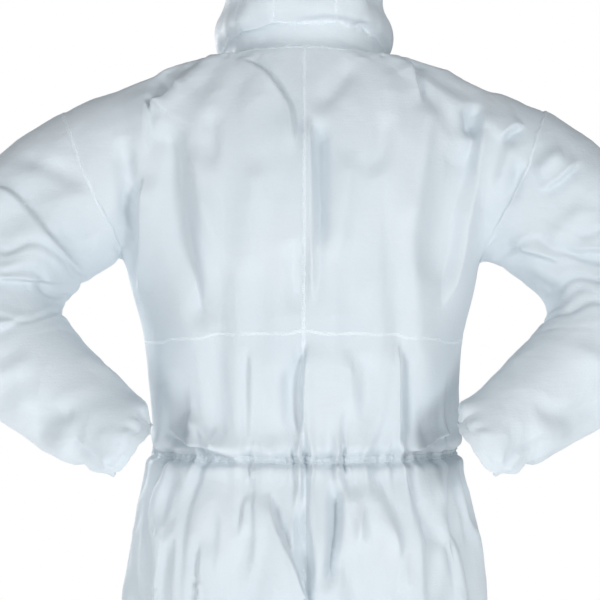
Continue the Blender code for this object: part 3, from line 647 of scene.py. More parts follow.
BACK_FOLDS = (
    ("step", 4, 10, 1, 185, 1417, 186, 1388, 184, 1352, 183, 1326),
    ("step", 7, 12, -1, 190, 1312, 194, 1269, 196, 1230, 199, 1197, 202, 1169),
    ("valley", 8, 11, 1, 216, 1357, 211, 1317, 207, 1269, 207, 1233, 203, 1192),
    ("valley", 12, 16, 1, 166, 1375, 159, 1340, 153, 1293, 147, 1245, 136, 1197, 122, 1149, 110, 1118),
    ("step", 7, 12, -1, 146, 1428, 157, 1415, 170, 1401, 182, 1395, 184, 1376),
    ("valley", 8, 13, 1, 156, 1425, 168, 1412, 180, 1400),
    ("step", 5, 12, 1, 81, 1450, 48, 1429, 24, 1398, 14, 1376, 10, 1326),
    ("valley", 4, 10, 1, 110, 1388, 108, 1345, 111, 1304),
    ("ridge", 4, 12, 1, 121, 1345, 121, 1293, 107, 1245, 86, 1185),
    ("ridge", 4, 16, 1, 52, 1326, 60, 1257, 62, 1173),
    ("valley", 6, 14, 1, 16, 1233, 9, 1185, 12, 1140),
    ("step", 6, 10, 1, -8, 1376, -11, 1312, -12, 1245, -12, 1149),
    ("valley", 8, 9, 1, -19, 1372, -20, 1293, -19, 1213),
    ("valley", 5, 12, 1, -62, 1443, -38, 1412, -9, 1376),
    ("step", 6, 10, 1, -119, 1450, -129, 1434, -135, 1407, -139, 1388),
    ("ridge", 6, 14, 1, -149, 1398, -139, 1352, -130, 1293, -122, 1233),
    ("valley", 4, 12, 1, -98, 1381, -86, 1326, -60, 1304),
    ("ridge", 4, 14, 1, -52, 1336, -45, 1281, -36, 1197),
    ("valley", 9, 11, 1, -197, 1395, -198, 1378, -198, 1350),
    ("step", 9, 13, -1, -209, 1395, -208, 1380, -207, 1364, -201, 1326, -196, 1297, -186, 1257, -179, 1209,
     -162, 1149),
    ("valley", 9, 18, 1, -186, 1352, -177, 1304, -162, 1245, -150, 1173),
    ("step", 6, 10, 1, -263, 1369, -244, 1360, -231, 1345),
    ("ridge", 5, 10, 1, -249, 1355, -241, 1326, -229, 1281),
    ("valley", 5, 8, 1, -258, 1326, -250, 1300, -240, 1270),
)
WAIST_FOLDS = (
    ("step", 4, 8, -1, 64, 1110, 64, 1045, 66, 999, 68, 970),
    ("step", 6, 10, 1, -110, 1114, -111, 1045, -110, 974),
    ("step", 6, 12, -1, -6, 1117, 1, 1083, 4, 1022, 9, 988, 16, 975),
    ("valley", 5, 12, 1, 18, 1094, 16, 1045, 10, 999),
    ("ridge", 4, 10, 1, -47, 1108, -53, 1060, -53, 1017),
    ("valley", 4, 10, 1, -74, 1103, -74, 1045, -69, 999),
    ("ridge", 5, 6, 1, 135, 1031, 115, 1003, 95, 978),
    ("ridge", 4, 6, 1, 107, 1010, 90, 980),
    ("step", 7, 10, 1, -180, 1004, -143, 990, -112, 978),
    ("step", 7, 10, 1, 167, 1006, 130, 992, 95, 980, 69, 972),
)
SEAT_FOLDS = (
    ("step", 7, 9, 1, 41, 942, 32, 902, 12, 856, -7, 787),
    ("valley", 6, 8, 1, 12, 936, 3, 879, -7, 821),
    ("valley", 10, 8, 1, -34, 953, -36, 907, -32, 856, -20, 821),
    ("step", 4, 8, -1, -42, 953, -43, 900, -38, 850),
    ("step", 4, 8, -1, 69, 939, 75, 885),
    ("step", 4, 10, -1, 120, 887, 124, 830, 128, 770, 124, 700),
    ("valley", 4, 12, 1, 163, 896, 170, 821, 165, 740),
    ("ridge", 4, 8, 1, -57, 948, -60, 913, -70, 870),
    ("ridge", 4, 10, 1, -77, 951, -89, 907, -109, 873, -125, 800),
    ("valley", 4, 12, 1, -183, 900, -178, 844, -170, 760),
    ("valley", 4, 10, 1, -140, 930, -150, 870, -145, 790),
)
SLEEVE_FOLDS = (
    ("valley", 5, 12, 1, 349, 1336, 320, 1326, 284, 1312, 256, 1293, 243, 1278),
    ("step", 5, 14, -1, 385, 1296, 349, 1290, 320, 1264, 299, 1238, 280, 1214, 260, 1187),
    ("step", 7, 10, 1, 420, 1176, 380, 1180, 344, 1185, 308, 1183, 280, 1180),
    ("step", 6, 10, 1, -328, 1326, -294, 1297, -273, 1288),
    ("ridge", 6, 10, 1, -270, 1305, -292, 1326, -308, 1331),
    ("ridge", 4, 12, 1, -337, 1278, -313, 1252, -284, 1226),
    ("step", 6, 10, 1, -243, 1228, -289, 1209, -308, 1202),
    ("step", 8, 12, 1, -306, 1218, -342, 1218, -380, 1216, -420, 1205),
    ("step", 6, 12, 1, 440, 1130, 390, 1118, 345, 1130, 318, 1145),
    ("step", 6, 12, 1, -440, 1150, -385, 1150, -345, 1168, -325, 1178),
    ("ridge", 5, 12, 1, 400, 1080, 350, 1075, 300, 1095),
    ("ridge", 5, 12, 1, -410, 1090, -350, 1085, -300, 1110),
    ("valley", 5, 10, 1, 330, 1040, 285, 1030, 240, 1045),
    ("valley", 5, 10, 1, -350, 1050, -300, 1030, -250, 1045),
    ("step", 4, 10, 1, 260, 1010, 225, 985, 205, 960),
    ("step", 4, 10, -1, -270, 1010, -235, 990, -215, 960),
)
HOOD_FOLDS = (
    ("step", 5, 10, 1, 15, 1490, -21, 1496, -50, 1494, -88, 1485),
    ("step", 5, 10, 1, 90, 1482, 60, 1478, 37, 1479, 17, 1486),
    ("ridge", 4, 8, 1, -10, 1545, -50, 1521, -90, 1510),
    ("valley", 6, 6, 1, -58, 1487, -82, 1484),
    ("valley", 4, 10, 1, 60, 1600, 50, 1560, 65, 1530),
    ("valley", 4, 10, 1, -70, 1590, -60, 1555, -72, 1530),
)


def fold_height(xz, kind, height, width, top, *points):
    """How far each point stands out for one fold."""
    height, width = height * MM, width * MM
    line = curve_through(np.reshape(points, (-1, 2)) * MM, 6)
    a, along = line[:-1], np.diff(line, axis=0)
    lengths = np.maximum(np.linalg.norm(along, axis=1), 1e-9)
    start = np.concatenate(([0], np.cumsum(lengths)[:-1])) / lengths.sum()
    out = np.zeros(len(xz))
    reach = 4 * width
    near = np.flatnonzero(((xz > line.min(0) - reach) & (xz < line.max(0) + reach)).all(1))
    if not len(near):
        return out
    gap = xz[near, None, :] - a[None]
    share = np.clip((gap * along[None]).sum(2) / lengths ** 2, 0, 1)
    gap = gap - share[..., None] * along[None]
    distance = np.linalg.norm(gap, axis=2)
    best = distance.argmin(1)
    rows = np.arange(len(near))
    distance = distance[rows, best]
    place = start[best] + share[rows, best] * lengths[best] / lengths.sum()
    direction = along[best] / lengths[best, None]
    span = np.abs(line[-1] - line[0])
    upright = span[1] > span[0]
    beside = np.stack((-direction[:, 1], direction[:, 0]), 1)
    beside *= np.where(beside[:, 0 if upright else 1] < 0, -1, 1)[:, None]
    side = np.sign((gap[rows, best] * beside).sum(1)) * distance * top
    if kind == "step":
        upper = np.exp(-np.maximum(side, 0) / (1.5 * width))
        lower = -0.6 * np.exp(-(np.minimum(side, 0) / width) ** 2)
        shape = lower + (upper - lower) * soft(side, -0.0032, 0.0032)
    else:
        shape = np.exp(-(distance / width) ** 2) * (1 if kind == "ridge" else -1)
    fade_in, fade_out = (min(share, reach / lengths.sum()) for share, reach in ((0.30, 0.030), (0.35, 0.040)))
    out[near] = height * shape * soft(place, 0, fade_in) * soft(1 - place, 0, fade_out)
    return out


def noise_at(points, scale, seed, kind="soft"):
    """Noise at each point, from -1 to 1. The scale may differ along x, y and z."""
    factor = np.array(scale, float)
    shifted = points / factor + seed * 17.31
    if kind == "crisp":
        return np.array([1 - 2 * abs(noise.noise(Vector(p))) for p in shifted])
    return np.array([noise.noise(Vector(p)) for p in shifted])


def masks(mesh, names):
    """For each panel name, which points belong to it."""
    loops = read(mesh.loops, "vertex_index", np.int32)
    owner = np.repeat(panels_of(mesh), read(mesh.polygons, "loop_total", np.int32))
    found = {name: np.zeros(len(mesh.vertices), dtype=bool) for name in names}
    for index, name in enumerate(names):
        found[name][loops[owner == index]] = True
    return found


def elbow_frame(hand):
    """At an elbow: the way across the bend from upper arm to forearm, and the way to the bend's inside."""
    up, down = (SHOULDER - ELBOW).normalized(), FOREARM_AXIS
    return mirrored((down - up).normalized(), hand), mirrored((down + up).normalized(), hand)


def shape_folds(mesh, names):
    """Presses the folds, gathers and creases into the settled cloth."""
    co, place, normals = points_of(mesh), places_of(mesh), normals_of(mesh)
    on = masks(mesh, names)
    forearm = on["left_forearm_sleeve"] | on["right_forearm_sleeve"]
    arm = forearm | on["left_upper_sleeve"] | on["right_upper_sleeve"]
    hood = on["hood_left"] | on["hood_right"] | on["hood_centre_strip"]
    xz = co[:, [0, 2]]
    behind = soft(normals[:, 1], 0.10, 0.55)
    out = np.zeros(len(co))
    for folds, where, depth in ((BACK_FOLDS, ~forearm & ~hood, 1.4), (WAIST_FOLDS, ~arm, 1.8),
                                (SEAT_FOLDS, ~arm, 1.9), (SLEEVE_FOLDS, arm, 1.15), (HOOD_FOLDS, hood, 1.1)):
        for fold in folds:
            out += fold_height(xz, *fold) * where * behind * depth
    trunk = ~arm & ~hood
    patchy = soft(noise_at(place, (0.16, 0.16, 0.24), 8), -0.35, 0.35)
    drape = noise_at(place, (0.048, 0.060, 0.34), 1) * 0.0050
    drape += noise_at(place, (0.020, 0.030, 0.15), 2) * 0.0014
    drape *= 0.35 + 0.65 * patchy
    rim = np.minimum(soft(place[:, 2], 0.0, 0.05), 1 - on["collar_band"] * 0.7)
    front_edge = soft(np.abs(place[:, 0]) + (place[:, 1] > BODY_Y) * 0.1, PLACKET_HALF, 0.05)
    out += drape * trunk * rim * front_edge * (1 - 0.45 * (behind > 0.5) * (place[:, 2] > WAIST_Z))
    crumple = noise_at(place, (0.110,) * 3, 3, "crisp") * 0.0030
    crumple += noise_at(place, (0.040,) * 3, 4, "crisp") * 0.0007
    out += crumple * front_edge * np.where(arm | hood, 0.8, 0.40)
    out += limb_creases(co, place, arm, trunk)
    out += waist_gathers(place, trunk)
    out += face_gathers(place, hood)
    co = co + normals * out[:, None]
    co += cuff_pull(co, place, forearm)
    move_points(mesh, co)
    relax(mesh, 1, 0.25)


def pleat(phase, width):
    """A narrow valley once in every whole number of the phase."""
    gap = phase - np.round(phase)
    return 0.4 * np.exp(-(gap / (2.5 * width)) ** 2) - np.exp(-(gap / width) ** 2)


def limb_creases(co, place, arm, trunk):
    """Bunched cloth inside the elbows and behind the knees, and soft rings lower down the legs."""
    out = np.zeros(len(co))
    wander = noise_at(place, (0.055,) * 3, 5)
    for _, hand in HANDS:
        across, inner = elbow_frame(hand)
        gap = co - np.array(mirrored(ELBOW, hand))
        along, inside = gap @ np.array(across), gap @ np.array(inner)
        near = arm & (place[:, 0] * hand > 0)
        weight = soft(0.075 - np.abs(along), 0, 0.05) * soft(inside, -0.005, 0.055) * near
        out += weight * (0.0055 * pleat(along / 0.034 + 0.9 * wander, 0.16) + 0.003 * wander)
    rise = place[:, 2] - KNEE.z
    back = soft(place[:, 1] - BODY_Y, -0.02, 0.05)
    legs = trunk & (place[:, 2] < 0.80)
    knee = legs * back * soft(0.10 - np.abs(rise), 0, 0.08)
    out += knee * 0.0050 * pleat(rise / 0.036 + 1.6 * wander, 0.17)
    low = legs * soft(0.30 - place[:, 2], 0, 0.25) * soft(place[:, 2], 0.012, 0.05)
    out += low * 0.0034 * pleat(place[:, 2] / 0.070 + 2.2 * wander, 0.13)
    return out


def cuff_pull(co, place, forearm):
    """How the end of each sleeve closes toward the wrist, which rounds its lower corner."""
    move = np.zeros_like(co)
    for _, hand in HANDS:
        normal = np.array(mirrored(CUFF_NORMAL, hand))
        depth = (np.array(mirrored(CUFF_END, hand)) - place) @ normal
        near = forearm & (place[:, 0] * hand > 0) & (depth < 0.040)
        gap = co - co[near].mean(0)
        gap -= np.outer(gap @ normal, normal)
        move -= gap * (near * 0.34 * soft(0.040 - depth, 0.0, 0.040) ** 2)[:, None]
    return move


def waist_gathers(place, trunk):
    """Ruffles at the waist elastic across the back, the puff over it and the fan of folds under it."""
    back = trunk * soft(place[:, 1], BODY_Y - 0.015, BODY_Y + 0.03)
    rise = place[:, 2] - WAIST_Z
    round_back = np.arctan2(place[:, 0], np.maximum(place[:, 1] - BODY_Y, 0.001)) * 0.155
    wander = noise_at(place, (0.030, 0.030, 0.12), 6)
    wave = 2 * math.pi * round_back
    middle_of_back = 1 - 0.75 * soft(np.abs(place[:, 0] + 0.02), 0.085, 0.125)
    uneven = 0.45 + 0.9 * soft(noise_at(place, (0.012, 0.05, 0.9), 9), -0.3, 0.4)
    below, above = np.exp(-(np.minimum(rise, 0) / 0.030) ** 2), np.exp(-(np.maximum(rise, 0) / 0.018) ** 2)
    fine = 0.0048 * uneven * pleat(round_back / 0.0115 + 1.6 * wander, 0.20) * below * above
    middle = 0.0036 * np.sin(wave / 0.023 + 6 * wander) * np.exp(-(rise / 0.034) ** 2)
    spread = np.where(rise > 0, 0.060, 0.130)
    wide = 0.0038 * np.sin(wave / 0.047 + 6 * wander) * np.exp(-(rise / spread) ** 2)
    drawn_in = -0.0060 * np.exp(-(rise / 0.006) ** 2)
    puff = 0.0050 * np.exp(-((rise - 0.017) / 0.012) ** 2) + 0.0035 * np.exp(-((rise + 0.014) / 0.010) ** 2)
    return back * ((fine + middle) * middle_of_back + wide + drawn_in + puff)


def face_gathers(place, hood):
    """Ruffles round the face, where its elastic gathers the hood."""
    front = hood * soft(BODY_Y - 0.02 - place[:, 1], 0, 0.03)
    angle = np.arctan2(place[:, 2] - FACE_Z, place[:, 0])
    ring = np.array([face_radius(Vector(p)) for p in place])
    wander = noise_at(place, (0.03,) * 3, 7)
    ruffle = 0.0011 * np.sin(angle * 30 + 5 * wander) * np.exp(-((ring - 1.05) / 0.18) ** 2)
    return front * (ruffle - 0.003 * np.exp(-((ring - 1.13) / 0.05) ** 2))


# ---- panels as thin shells ----

def shell(name, co, faces, normals, place, thickness):
    """A sheet with a face on each side and a closed edge, shaded with the normals of the whole suit."""
    used = np.unique(np.concatenate(faces))
    index = {int(v): i for i, v in enumerate(used)}
    count = len(used)
    outer = [[index[int(v)] for v in face] for face in faces]
    seen = {pair: True for face in outer for pair in zip(face, face[1:] + face[:1])}
    rims = [(b, a, a + count, b + count) for a, b in seen if (b, a) not in seen]
    inner = [[v + count for v in reversed(face)] for face in outer]
    points = np.concatenate((co[used], co[used] - normals[used] * thickness))
    mesh = bpy.data.meshes.new(name)
    mesh.from_pydata(points.tolist(), [], outer + inner + [list(r) for r in rims])
    mark_places(mesh, (place[used], place[used]))
    mesh.shade_smooth()
    both = np.concatenate((normals[used], -normals[used]))
    custom = both[read(mesh.loops, "vertex_index", np.int32)]
    start = sum(len(f) for f in outer) * 2
    for k, (a, b, *_) in enumerate(rims):
        middle = both[a] + both[b]
        along = points[b] - points[a]
        custom[start + 4 * k:start + 4 * k + 4] = np.cross(middle, along)
    lengths = np.linalg.norm(custom, axis=1, keepdims=True)
    mesh.normals_split_custom_set((custom / np.maximum(lengths, 1e-9)).tolist())
    return link(name, mesh)


def blend_arm(obj):
    """Bakes the piece's placement into its mesh."""
    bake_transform(obj)


def blend_elbow(obj, side, hand):
    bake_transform(obj)


def blend_hip(obj, side, hand):
    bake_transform(obj)


def blend_knee(obj, side, hand):
    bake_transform(obj)


def blend_hood(obj):
    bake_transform(obj)


def carry(obj, name):
    """Hangs a piece on the trunk. A piece that follows the shoulders, forearms, thighs, shins or hood, by its
    name, only has its placement baked into its mesh.
    """
    for side, hand in HANDS:
        if name in (f"back_upper_{side}", f"front_{side}", f"{side}_upper_sleeve"):
            return blend_arm(obj)
        for part, blend in (("forearm_sleeve", blend_elbow), ("thigh", blend_hip), ("shin", blend_knee)):
            if name.startswith(f"{side}_{part}"):
                return blend(obj, side, hand)
    return blend_hood(obj) if name.startswith("hood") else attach(obj, "trunk")


def make_panels(mesh, names, cloth):
    co, place, normals = points_of(mesh), places_of(mesh), normals_of(mesh)
    panel = panels_of(mesh)
    corners = [list(p.vertices) for p in mesh.polygons]
    for index, name in enumerate(names):
        faces = [corners[i] for i in np.flatnonzero(panel == index)]
        if not faces:
            continue
        piece = shell(f"{name}_panel", co, faces, normals, place, CLOTH)
        piece.data.materials.append(cloth)
        stands_for = [n for n in frame["nodes"] if n == name or name.rsplit("_", 1)[0] == n]
        if name.endswith("_forearm_sleeve"):
            stands_for.append(name.replace("forearm_sleeve", "elbow_fold"))
        if name.endswith("_shin_back"):
            stands_for.append(name.replace("shin_back", "knee_fold"))
        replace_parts(piece, *stands_for)
        carry(piece, name)


# ---- strips sewn along lines of the suit ----

def chains(edges):
    """Joins edges, given as pairs of points, into ordered lines. A closed line ends where it starts."""
    beside = {}
    for a, b in edges:
        beside.setdefault(a, []).append(b)
        beside.setdefault(b, []).append(a)
    lines = []
    starts = sorted(v for v, near in beside.items() if len(near) != 2) + sorted(beside)
    used = set()
    for start in starts:
        for first in list(beside[start]):
            if (start, first) in used:
                continue
            line = [start, first]
            used |= {(start, first), (first, start)}
            while len(beside[line[-1]]) == 2 and line[-1] != start:
                onward = [v for v in beside[line[-1]] if (line[-1], v) not in used]
                if not onward:
                    break
                used |= {(line[-1], onward[0]), (onward[0], line[-1])}
                line.append(onward[0])
            lines.append(line)
    return lines


def borders(mesh, names):
    """The edges between each pair of panels, and the free edges, which pair a panel with None."""
    panel = panels_of(mesh)
    owner = {}
    for poly in mesh.polygons:
        corners = list(poly.vertices)
        for a, b in zip(corners, corners[1:] + corners[:1]):
            owner.setdefault((min(a, b), max(a, b)), []).append(int(panel[poly.index]))
    found = {}
    for edge, faces in owner.items():
        if len(faces) == 1:
            found.setdefault(frozenset((names[faces[0]], None)), []).append(edge)
        elif faces[0] != faces[1]:
            found.setdefault(frozenset((names[faces[0]], names[faces[1]])), []).append(edge)
    return found


def steady(values, rounds, closed):
    values = np.array(values, float)
    for _ in range(rounds):
        if closed:
            before, after = np.roll(values, 1, 0), np.roll(values, -1, 0)
            values = values * 0.5 + (before + after) * 0.25
        else:
            values[1:-1] = values[1:-1] * 0.5 + (values[:-2] + values[2:]) * 0.25
    return values


def resampled(points, normals, step, closed):
    """The line cut into even steps, with its normals."""
    if closed:
        points, normals = np.vstack((points, points[:1])), np.vstack((normals, normals[:1]))
    lengths = np.concatenate(([0], np.cumsum(np.linalg.norm(np.diff(points, axis=0), axis=1))))
    count = max(int(lengths[-1] / step), 3)
    at = np.linspace(0, lengths[-1], count + 1)
    out = [np.stack([np.interp(at, lengths, values[:, n]) for n in range(3)], 1)
           for values in (points, normals)]
    if closed:
        out = [values[:-1] for values in out]
    unit = out[1] / np.maximum(np.linalg.norm(out[1], axis=1, keepdims=True), 1e-9)
    return out[0], unit, at[:len(out[0])]


HUG_REACH = 0.012             # a strip's points are drawn onto cloth that is nearer than this


class Strips:
    """Collects sewn strips that make up one piece."""

    def __init__(self, surface):
        self.surface = surface
        self.points, self.faces, self.runs = [], [], []

    def add(self, points, normals, profile, step=0.005, closed=False, wave=None):
        """Sweeps a closed profile of (offset to the side, height) along a line that lies on the cloth."""
        points, normals, at = resampled(steady(points, 2, closed), steady(normals, 3, closed), step, closed)
        count, width = len(points), len(profile)
        if closed:
            tangents = np.roll(points, -1, 0) - np.roll(points, 1, 0)
        else:
            tangents = np.gradient(points, axis=0)
        sides = np.cross(tangents, normals)
        sides /= np.maximum(np.linalg.norm(sides, axis=1, keepdims=True), 1e-9)
        first = len(self.points)
        for i in range(count):
            n = Vector(normals[i])
            for offset, height in profile:
                lift = height if wave is None else height + wave(at[i], offset, height)
                base = Vector(points[i] + sides[i] * offset)
                nearest = self.surface.find_nearest(base)[0]
                base = nearest if nearest is not None and (nearest - base).length < HUG_REACH else base
                self.points.append(base + n * lift)
                self.runs.append((at[i], offset, 0.0))
        for i in range(count if closed else count - 1):
            a, b = first + i * width, first + (i + 1) % count * width
            for j in range(width):
                k = (j + 1) % width
                self.faces.append((a + j, b + j, b + k, a + k))
        if not closed:
            self.faces.append(tuple(range(first, first + width)))
            last = first + (count - 1) * width
            self.faces.append(tuple(reversed(range(last, last + width))))

    def piece(self, name, material, slot, *stands_for):
        rough = bpy.data.meshes.new(name)
        rough.from_pydata(self.points, [], self.faces)
        bm = bmesh.new()
        bm.from_mesh(rough)
        mesh = from_bmesh(name, bm)
        bpy.data.meshes.remove(rough)
        mark_places(mesh, self.runs, "run")
        mark_places(mesh, self.points)
        mesh.shade_smooth()
        mesh.set_sharp_from_angle(angle=math.radians(50))
        mesh.materials.append(material)
        obj = link(name, mesh)
        if stands_for:
            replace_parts(obj, *stands_for)
        return obj


WELT = ((-0.0026, -0.0006), (-0.0016, 0.0003), (0.0, 0.0), (0.0016, 0.0003), (0.0026, -0.0006))


def pucker(at, offset, height):
    """Small unevenness along a sewn line."""
    return 0.00025 * math.sin(at * 410) * math.sin(at * 97 + 1.3) if height > 0 else 0.0


def line_data(line, co, normals):
    closed = line[0] == line[-1]
    index = line[:-1] if closed else line
    return co[index], normals[index], closed


def make_seams(mesh, names, surface, thread):
    """Welts along the sewn lines: one piece for each seam of the suit."""
    co, normals = points_of(mesh), normals_of(mesh)
    found = borders(mesh, names)
    both, upper, lower = ("left", "right"), ("back_upper", "front"), ("seat", "front_lap")
    hood = ("hood_left", "hood_right", "hood_centre_strip")
    seams = [
        ("centre_back_upper_seam", [("back_upper_left", "back_upper_right")], "trunk",
         "back_seam_upper_binding"),
        ("centre_back_lower_seam", [("back_lower_left", "back_lower_right")], "trunk",
         "back_seam_lower_binding"),
        ("centre_seat_seam", [("seat_left", "seat_right")], "trunk", "seat_seam_binding"),
        ("yoke_seam", [(f"back_upper_{s}", f"back_lower_{s}") for s in both], "trunk", "yoke_binding"),
        ("collar_seam", [("collar_band", f"{n}_{s}") for s in both for n in upper], "trunk"),
        ("hood_seam", [("collar_band", n) for n in hood], "trunk"),
        ("front_lap_seam", [("front_lap_left", "front_lap_right")], "trunk"),
        ("crotch_seam", [("crotch_gusset", f"{n}_{s}") for s in both for n in lower], "trunk"),
        ("hood_left_seam", [("hood_centre_strip", "hood_left")], "hood", "hood_left_binding"),
        ("hood_right_seam", [("hood_centre_strip", "hood_right")], "hood", "hood_right_binding"),
        ("hood_throat_seam", [("hood_left", "hood_right")], "hood"),
    ]
    for side in both:
        flank = ((f"front_{side}", f"back_lower_{side}"), (f"front_{side}", f"seat_{side}"),
                 (f"front_lap_{side}", f"seat_{side}"))
        seams += [
            (f"armhole_{side}_seam", [(f"{side}_upper_sleeve", f"{n}_{side}") for n in upper],
             f"back_upper_{side}", f"armhole_binding_{side}"),
            (f"side_{side}_upper_seam", [(f"front_{side}", f"back_upper_{side}")], f"back_upper_{side}"),
            (f"side_{side}_lower_seam", flank, "trunk"),
            (f"{side}_thigh_seam", [(f"{side}_thigh_back", f"{side}_thigh_front")], f"{side}_thigh"),
            (f"{side}_shin_seam", [(f"{side}_shin_back", f"{side}_shin_front")], f"{side}_shin"),
        ]
    for name, pairs, follows, *stands_for in seams:
        edges = [e for pair in pairs for e in found.get(frozenset(pair), [])]
        if not edges:
            continue
        strip = Strips(surface)
        for line in chains(edges):
            if len(line) < 4:
                continue
            points, outward, closed = line_data(line, co, normals)
            strip.add(points, outward, WELT, closed=closed, wave=pucker)
        carry(strip.piece(name, thread, "seam_binding", *stands_for), follows)


def hem_profile(width, thickness):
    """Section of a turned-up hem: it wraps the cloth's edge, and its stitched top end stands out a little."""
    return ((-0.0004, -0.0018), (-0.0012, -0.0006), (-0.0004, thickness), (width * 0.5, thickness * 0.8),
            (width - 0.002, thickness), (width - 0.0008, thickness * 0.3), (width, -0.0005), (width, -0.0018))


def make_hems(mesh, names, surface, cloth, elastic):
    """Turned hems at the cuffs, ankles and face, each with the elastic inside it."""
    co, normals = points_of(mesh), normals_of(mesh)
    free = {next(n for n in pair if n): edges for pair, edges in borders(mesh, names).items() if None in pair}
    hems = [("face_hem", ["hood_left", "hood_right", "hood_centre_strip"], "hood", "face_elastic", 0.011)]
    for side, _ in HANDS:
        hems.append((f"{side}_cuff_hem", [f"{side}_forearm_sleeve"], f"{side}_forearm",
                     f"{side}_cuff_elastic", 0.013))
        hems.append((f"{side}_ankle_hem", [f"{side}_shin_back", f"{side}_shin_front"], f"{side}_lower_leg",
                     f"{side}_ankle_elastic", 0.013))
    for name, panels, body, cad_elastic, width in hems:
        lines = chains([e for panel in panels for e in free.get(panel, [])])
        rim = max((line for line in lines if line[0] == line[-1]), key=len)
        points, outward, closed = line_data(rim, co, normals)
        sign = inward_sign(points, outward, surface)
        ribbon = ((0.002, -0.0022), (width - 0.002, -0.0022), (width - 0.002, -0.0034), (0.002, -0.0034))
        for piece, section, wave, look in ((name, hem_profile(width, 0.0005), pucker, (cloth, "suit_fabric")),
                                           (name.replace("hem", "elastic_band"), ribbon,
                                            lambda at, offset, height: 0.0005 * math.sin(at * 900),
                                            (elastic, "elastic", cad_elastic))):
            turned = [(sign * offset, height) for offset, height in section]
            strip = Strips(surface)
            strip.add(points, outward, turned, 0.004, closed, wave)
            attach(strip.piece(piece, *look), body)


def inward_sign(points, outward, surface):
    """1 if a positive offset leads from the free edge onto the cloth, -1 if it leads away from it."""
    votes = 0
    count = len(points)
    for i in range(0, count, max(count // 24, 1)):
        p = Vector(points[i])
        side = Vector(points[(i + 1) % count] - points[i - 1]).cross(Vector(outward[i])).normalized() * 0.008
        ahead, behind = (surface.find_nearest(p + step)[3] for step in (side, -side))
        votes += 1 if ahead < behind else -1
    return 1 if votes > 0 else -1


def make_waist(mesh, names, surface, cloth, elastic):
    """The gathered tunnel across the back of the waist, and the elastic inside it."""
    found = borders(mesh, names)
    edges = [e for side, _ in HANDS for e in found.get(frozenset((f"back_lower_{side}", f"seat_{side}")), [])]
    points, outward, closed = line_data(max(chains(edges), key=len), points_of(mesh), normals_of(mesh))

    def ruffle(at, offset, height):
        beat = math.sin(at * 2 * math.pi / 0.0088 + 2.2 * math.sin(at * 61)) * math.cos(at * 23)
        fan = 1 + 0.6 * abs(offset) / 0.006
        return 0.0009 * beat * fan if height > 0 else 0.0

    tunnel = Strips(surface)
    profile = ((-0.0050, -0.0012), (-0.0046, 0.0005), (-0.0030, 0.0013), (-0.0010, 0.0003), (0.0010, 0.0003),
               (0.0030, 0.0013), (0.0046, 0.0005), (0.0050, -0.0012))
    tunnel.add(points, outward, profile, 0.0018, closed, ruffle)
    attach(tunnel.piece("waist_casing", cloth, "suit_fabric"), "trunk")
    band = Strips(surface)
    band.add(points, outward, ((-0.0040, -0.0024), (0.0040, -0.0024), (0.0040, -0.0036), (-0.0040, -0.0036)),
             0.004, closed)
    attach(band.piece("waist_elastic_band", elastic, "elastic", "waist_elastic"), "trunk")


def make_shoulder_tapes(surface, tape):
    """The stay tape sewn inside each shoulder, under the cloth."""
    for side, hand in HANDS:
        low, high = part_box(f"shoulder_tape_{side}")
        inner, outer = sorted((abs(low.x), abs(high.x)))
        points, outward = [], []
        for k in range(21):
            start = Vector((hand * (inner + (outer - inner) * k / 20), BODY_Y + 0.002, 1.6))
            hit, normal = surface.ray_cast(start, Vector((0, 0, -1)))[:2]
            points.append(hit)
            outward.append(normal if normal.z > 0 else -normal)
        strip = Strips(surface)
        strip.add(np.array(points), np.array(outward),
                  ((-0.005, -0.0018), (0.005, -0.0018), (0.005, -0.0026), (-0.005, -0.0026)), 0.004)
        stay = strip.piece(f"shoulder_stay_{side}", tape, "seam_binding", f"shoulder_tape_{side}")
        blend_arm(stay)


# ---- zip and storm flap ----

def woven_tape(name, low, high, rows=150):
    """A long thin strip standing up along the zip, cut into rows, with a small play in depth."""
    bm = bmesh.new()
    rings = []
    for row in range(rows + 1):
        z = low.z + (high.z - low.z) * row / rows
        play = 0.00012 * math.sin(z * 230)
        rings.append([Vector((x, y + play, z)) for x, y in ((low.x, low.y), (high.x, low.y), (high.x, high.y),
                                                            (low.x, high.y))])
    loft(bm, rings)
    return link(name, from_bmesh(name, bm))


def coil_tooth(bm, y, z, hand):
    """One coil of the chain: a bead that reaches over the middle line, thicker at its head."""
    sections = ((0.0036, 0.00045, 0.0007), (0.0014, 0.00050, 0.0009), (0.0000, 0.00062, 0.0012),
                (-0.0007, 0.00045, 0.0008))
    turns = [math.pi * k / 3 for k in range(6)]
    loft(bm, [[Vector((hand * reach, y + half_depth * math.cos(a), z + half_height * math.sin(a)))
               for a in turns] for reach, half_height, half_depth in sections])


def make_zip(tape, plastic):
    """Woven tapes and two rows of coils that mesh on the middle line."""
    pitch = 0.0021
    for side, hand in HANDS:
        woven_piece = woven_tape(f"zip_woven_tape_{side}", *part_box(f"zip_tape_{side}"))
        finish_piece(woven_piece, tape, f"zip_tape_{side}")
        low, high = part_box(f"zip_chain_{side}")
        bm = bmesh.new()
        for k in range(int((high.z - low.z) / pitch)):
            z = low.z + (k + (0.5 if hand > 0 else 1.0)) * pitch
            if z < high.z:
                coil_tooth(bm, (low.y + high.y) / 2, z, hand)
        coils = link(f"zip_coils_{side}", from_bmesh(f"zip_coils_{side}", bm))
        coils.data.shade_smooth()
        coils.data.set_sharp_from_angle(angle=math.radians(40))
        finish_piece(coils, plastic, f"zip_chain_{side}")


def finish_piece(obj, material, cad_node):
    obj.data.materials.append(material)
    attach(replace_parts(obj, cad_node), "trunk")


def flap_depth(trees, x, z):
    """How far forward the CAD flap's face lies at this place, or None beside the flap."""
    hits = [tree.ray_cast(Vector((x, -1.0, z)), Vector((0, 1, 0)))[0] for tree in trees]
    return min((hit.y for hit in hits if hit is not None), default=None)


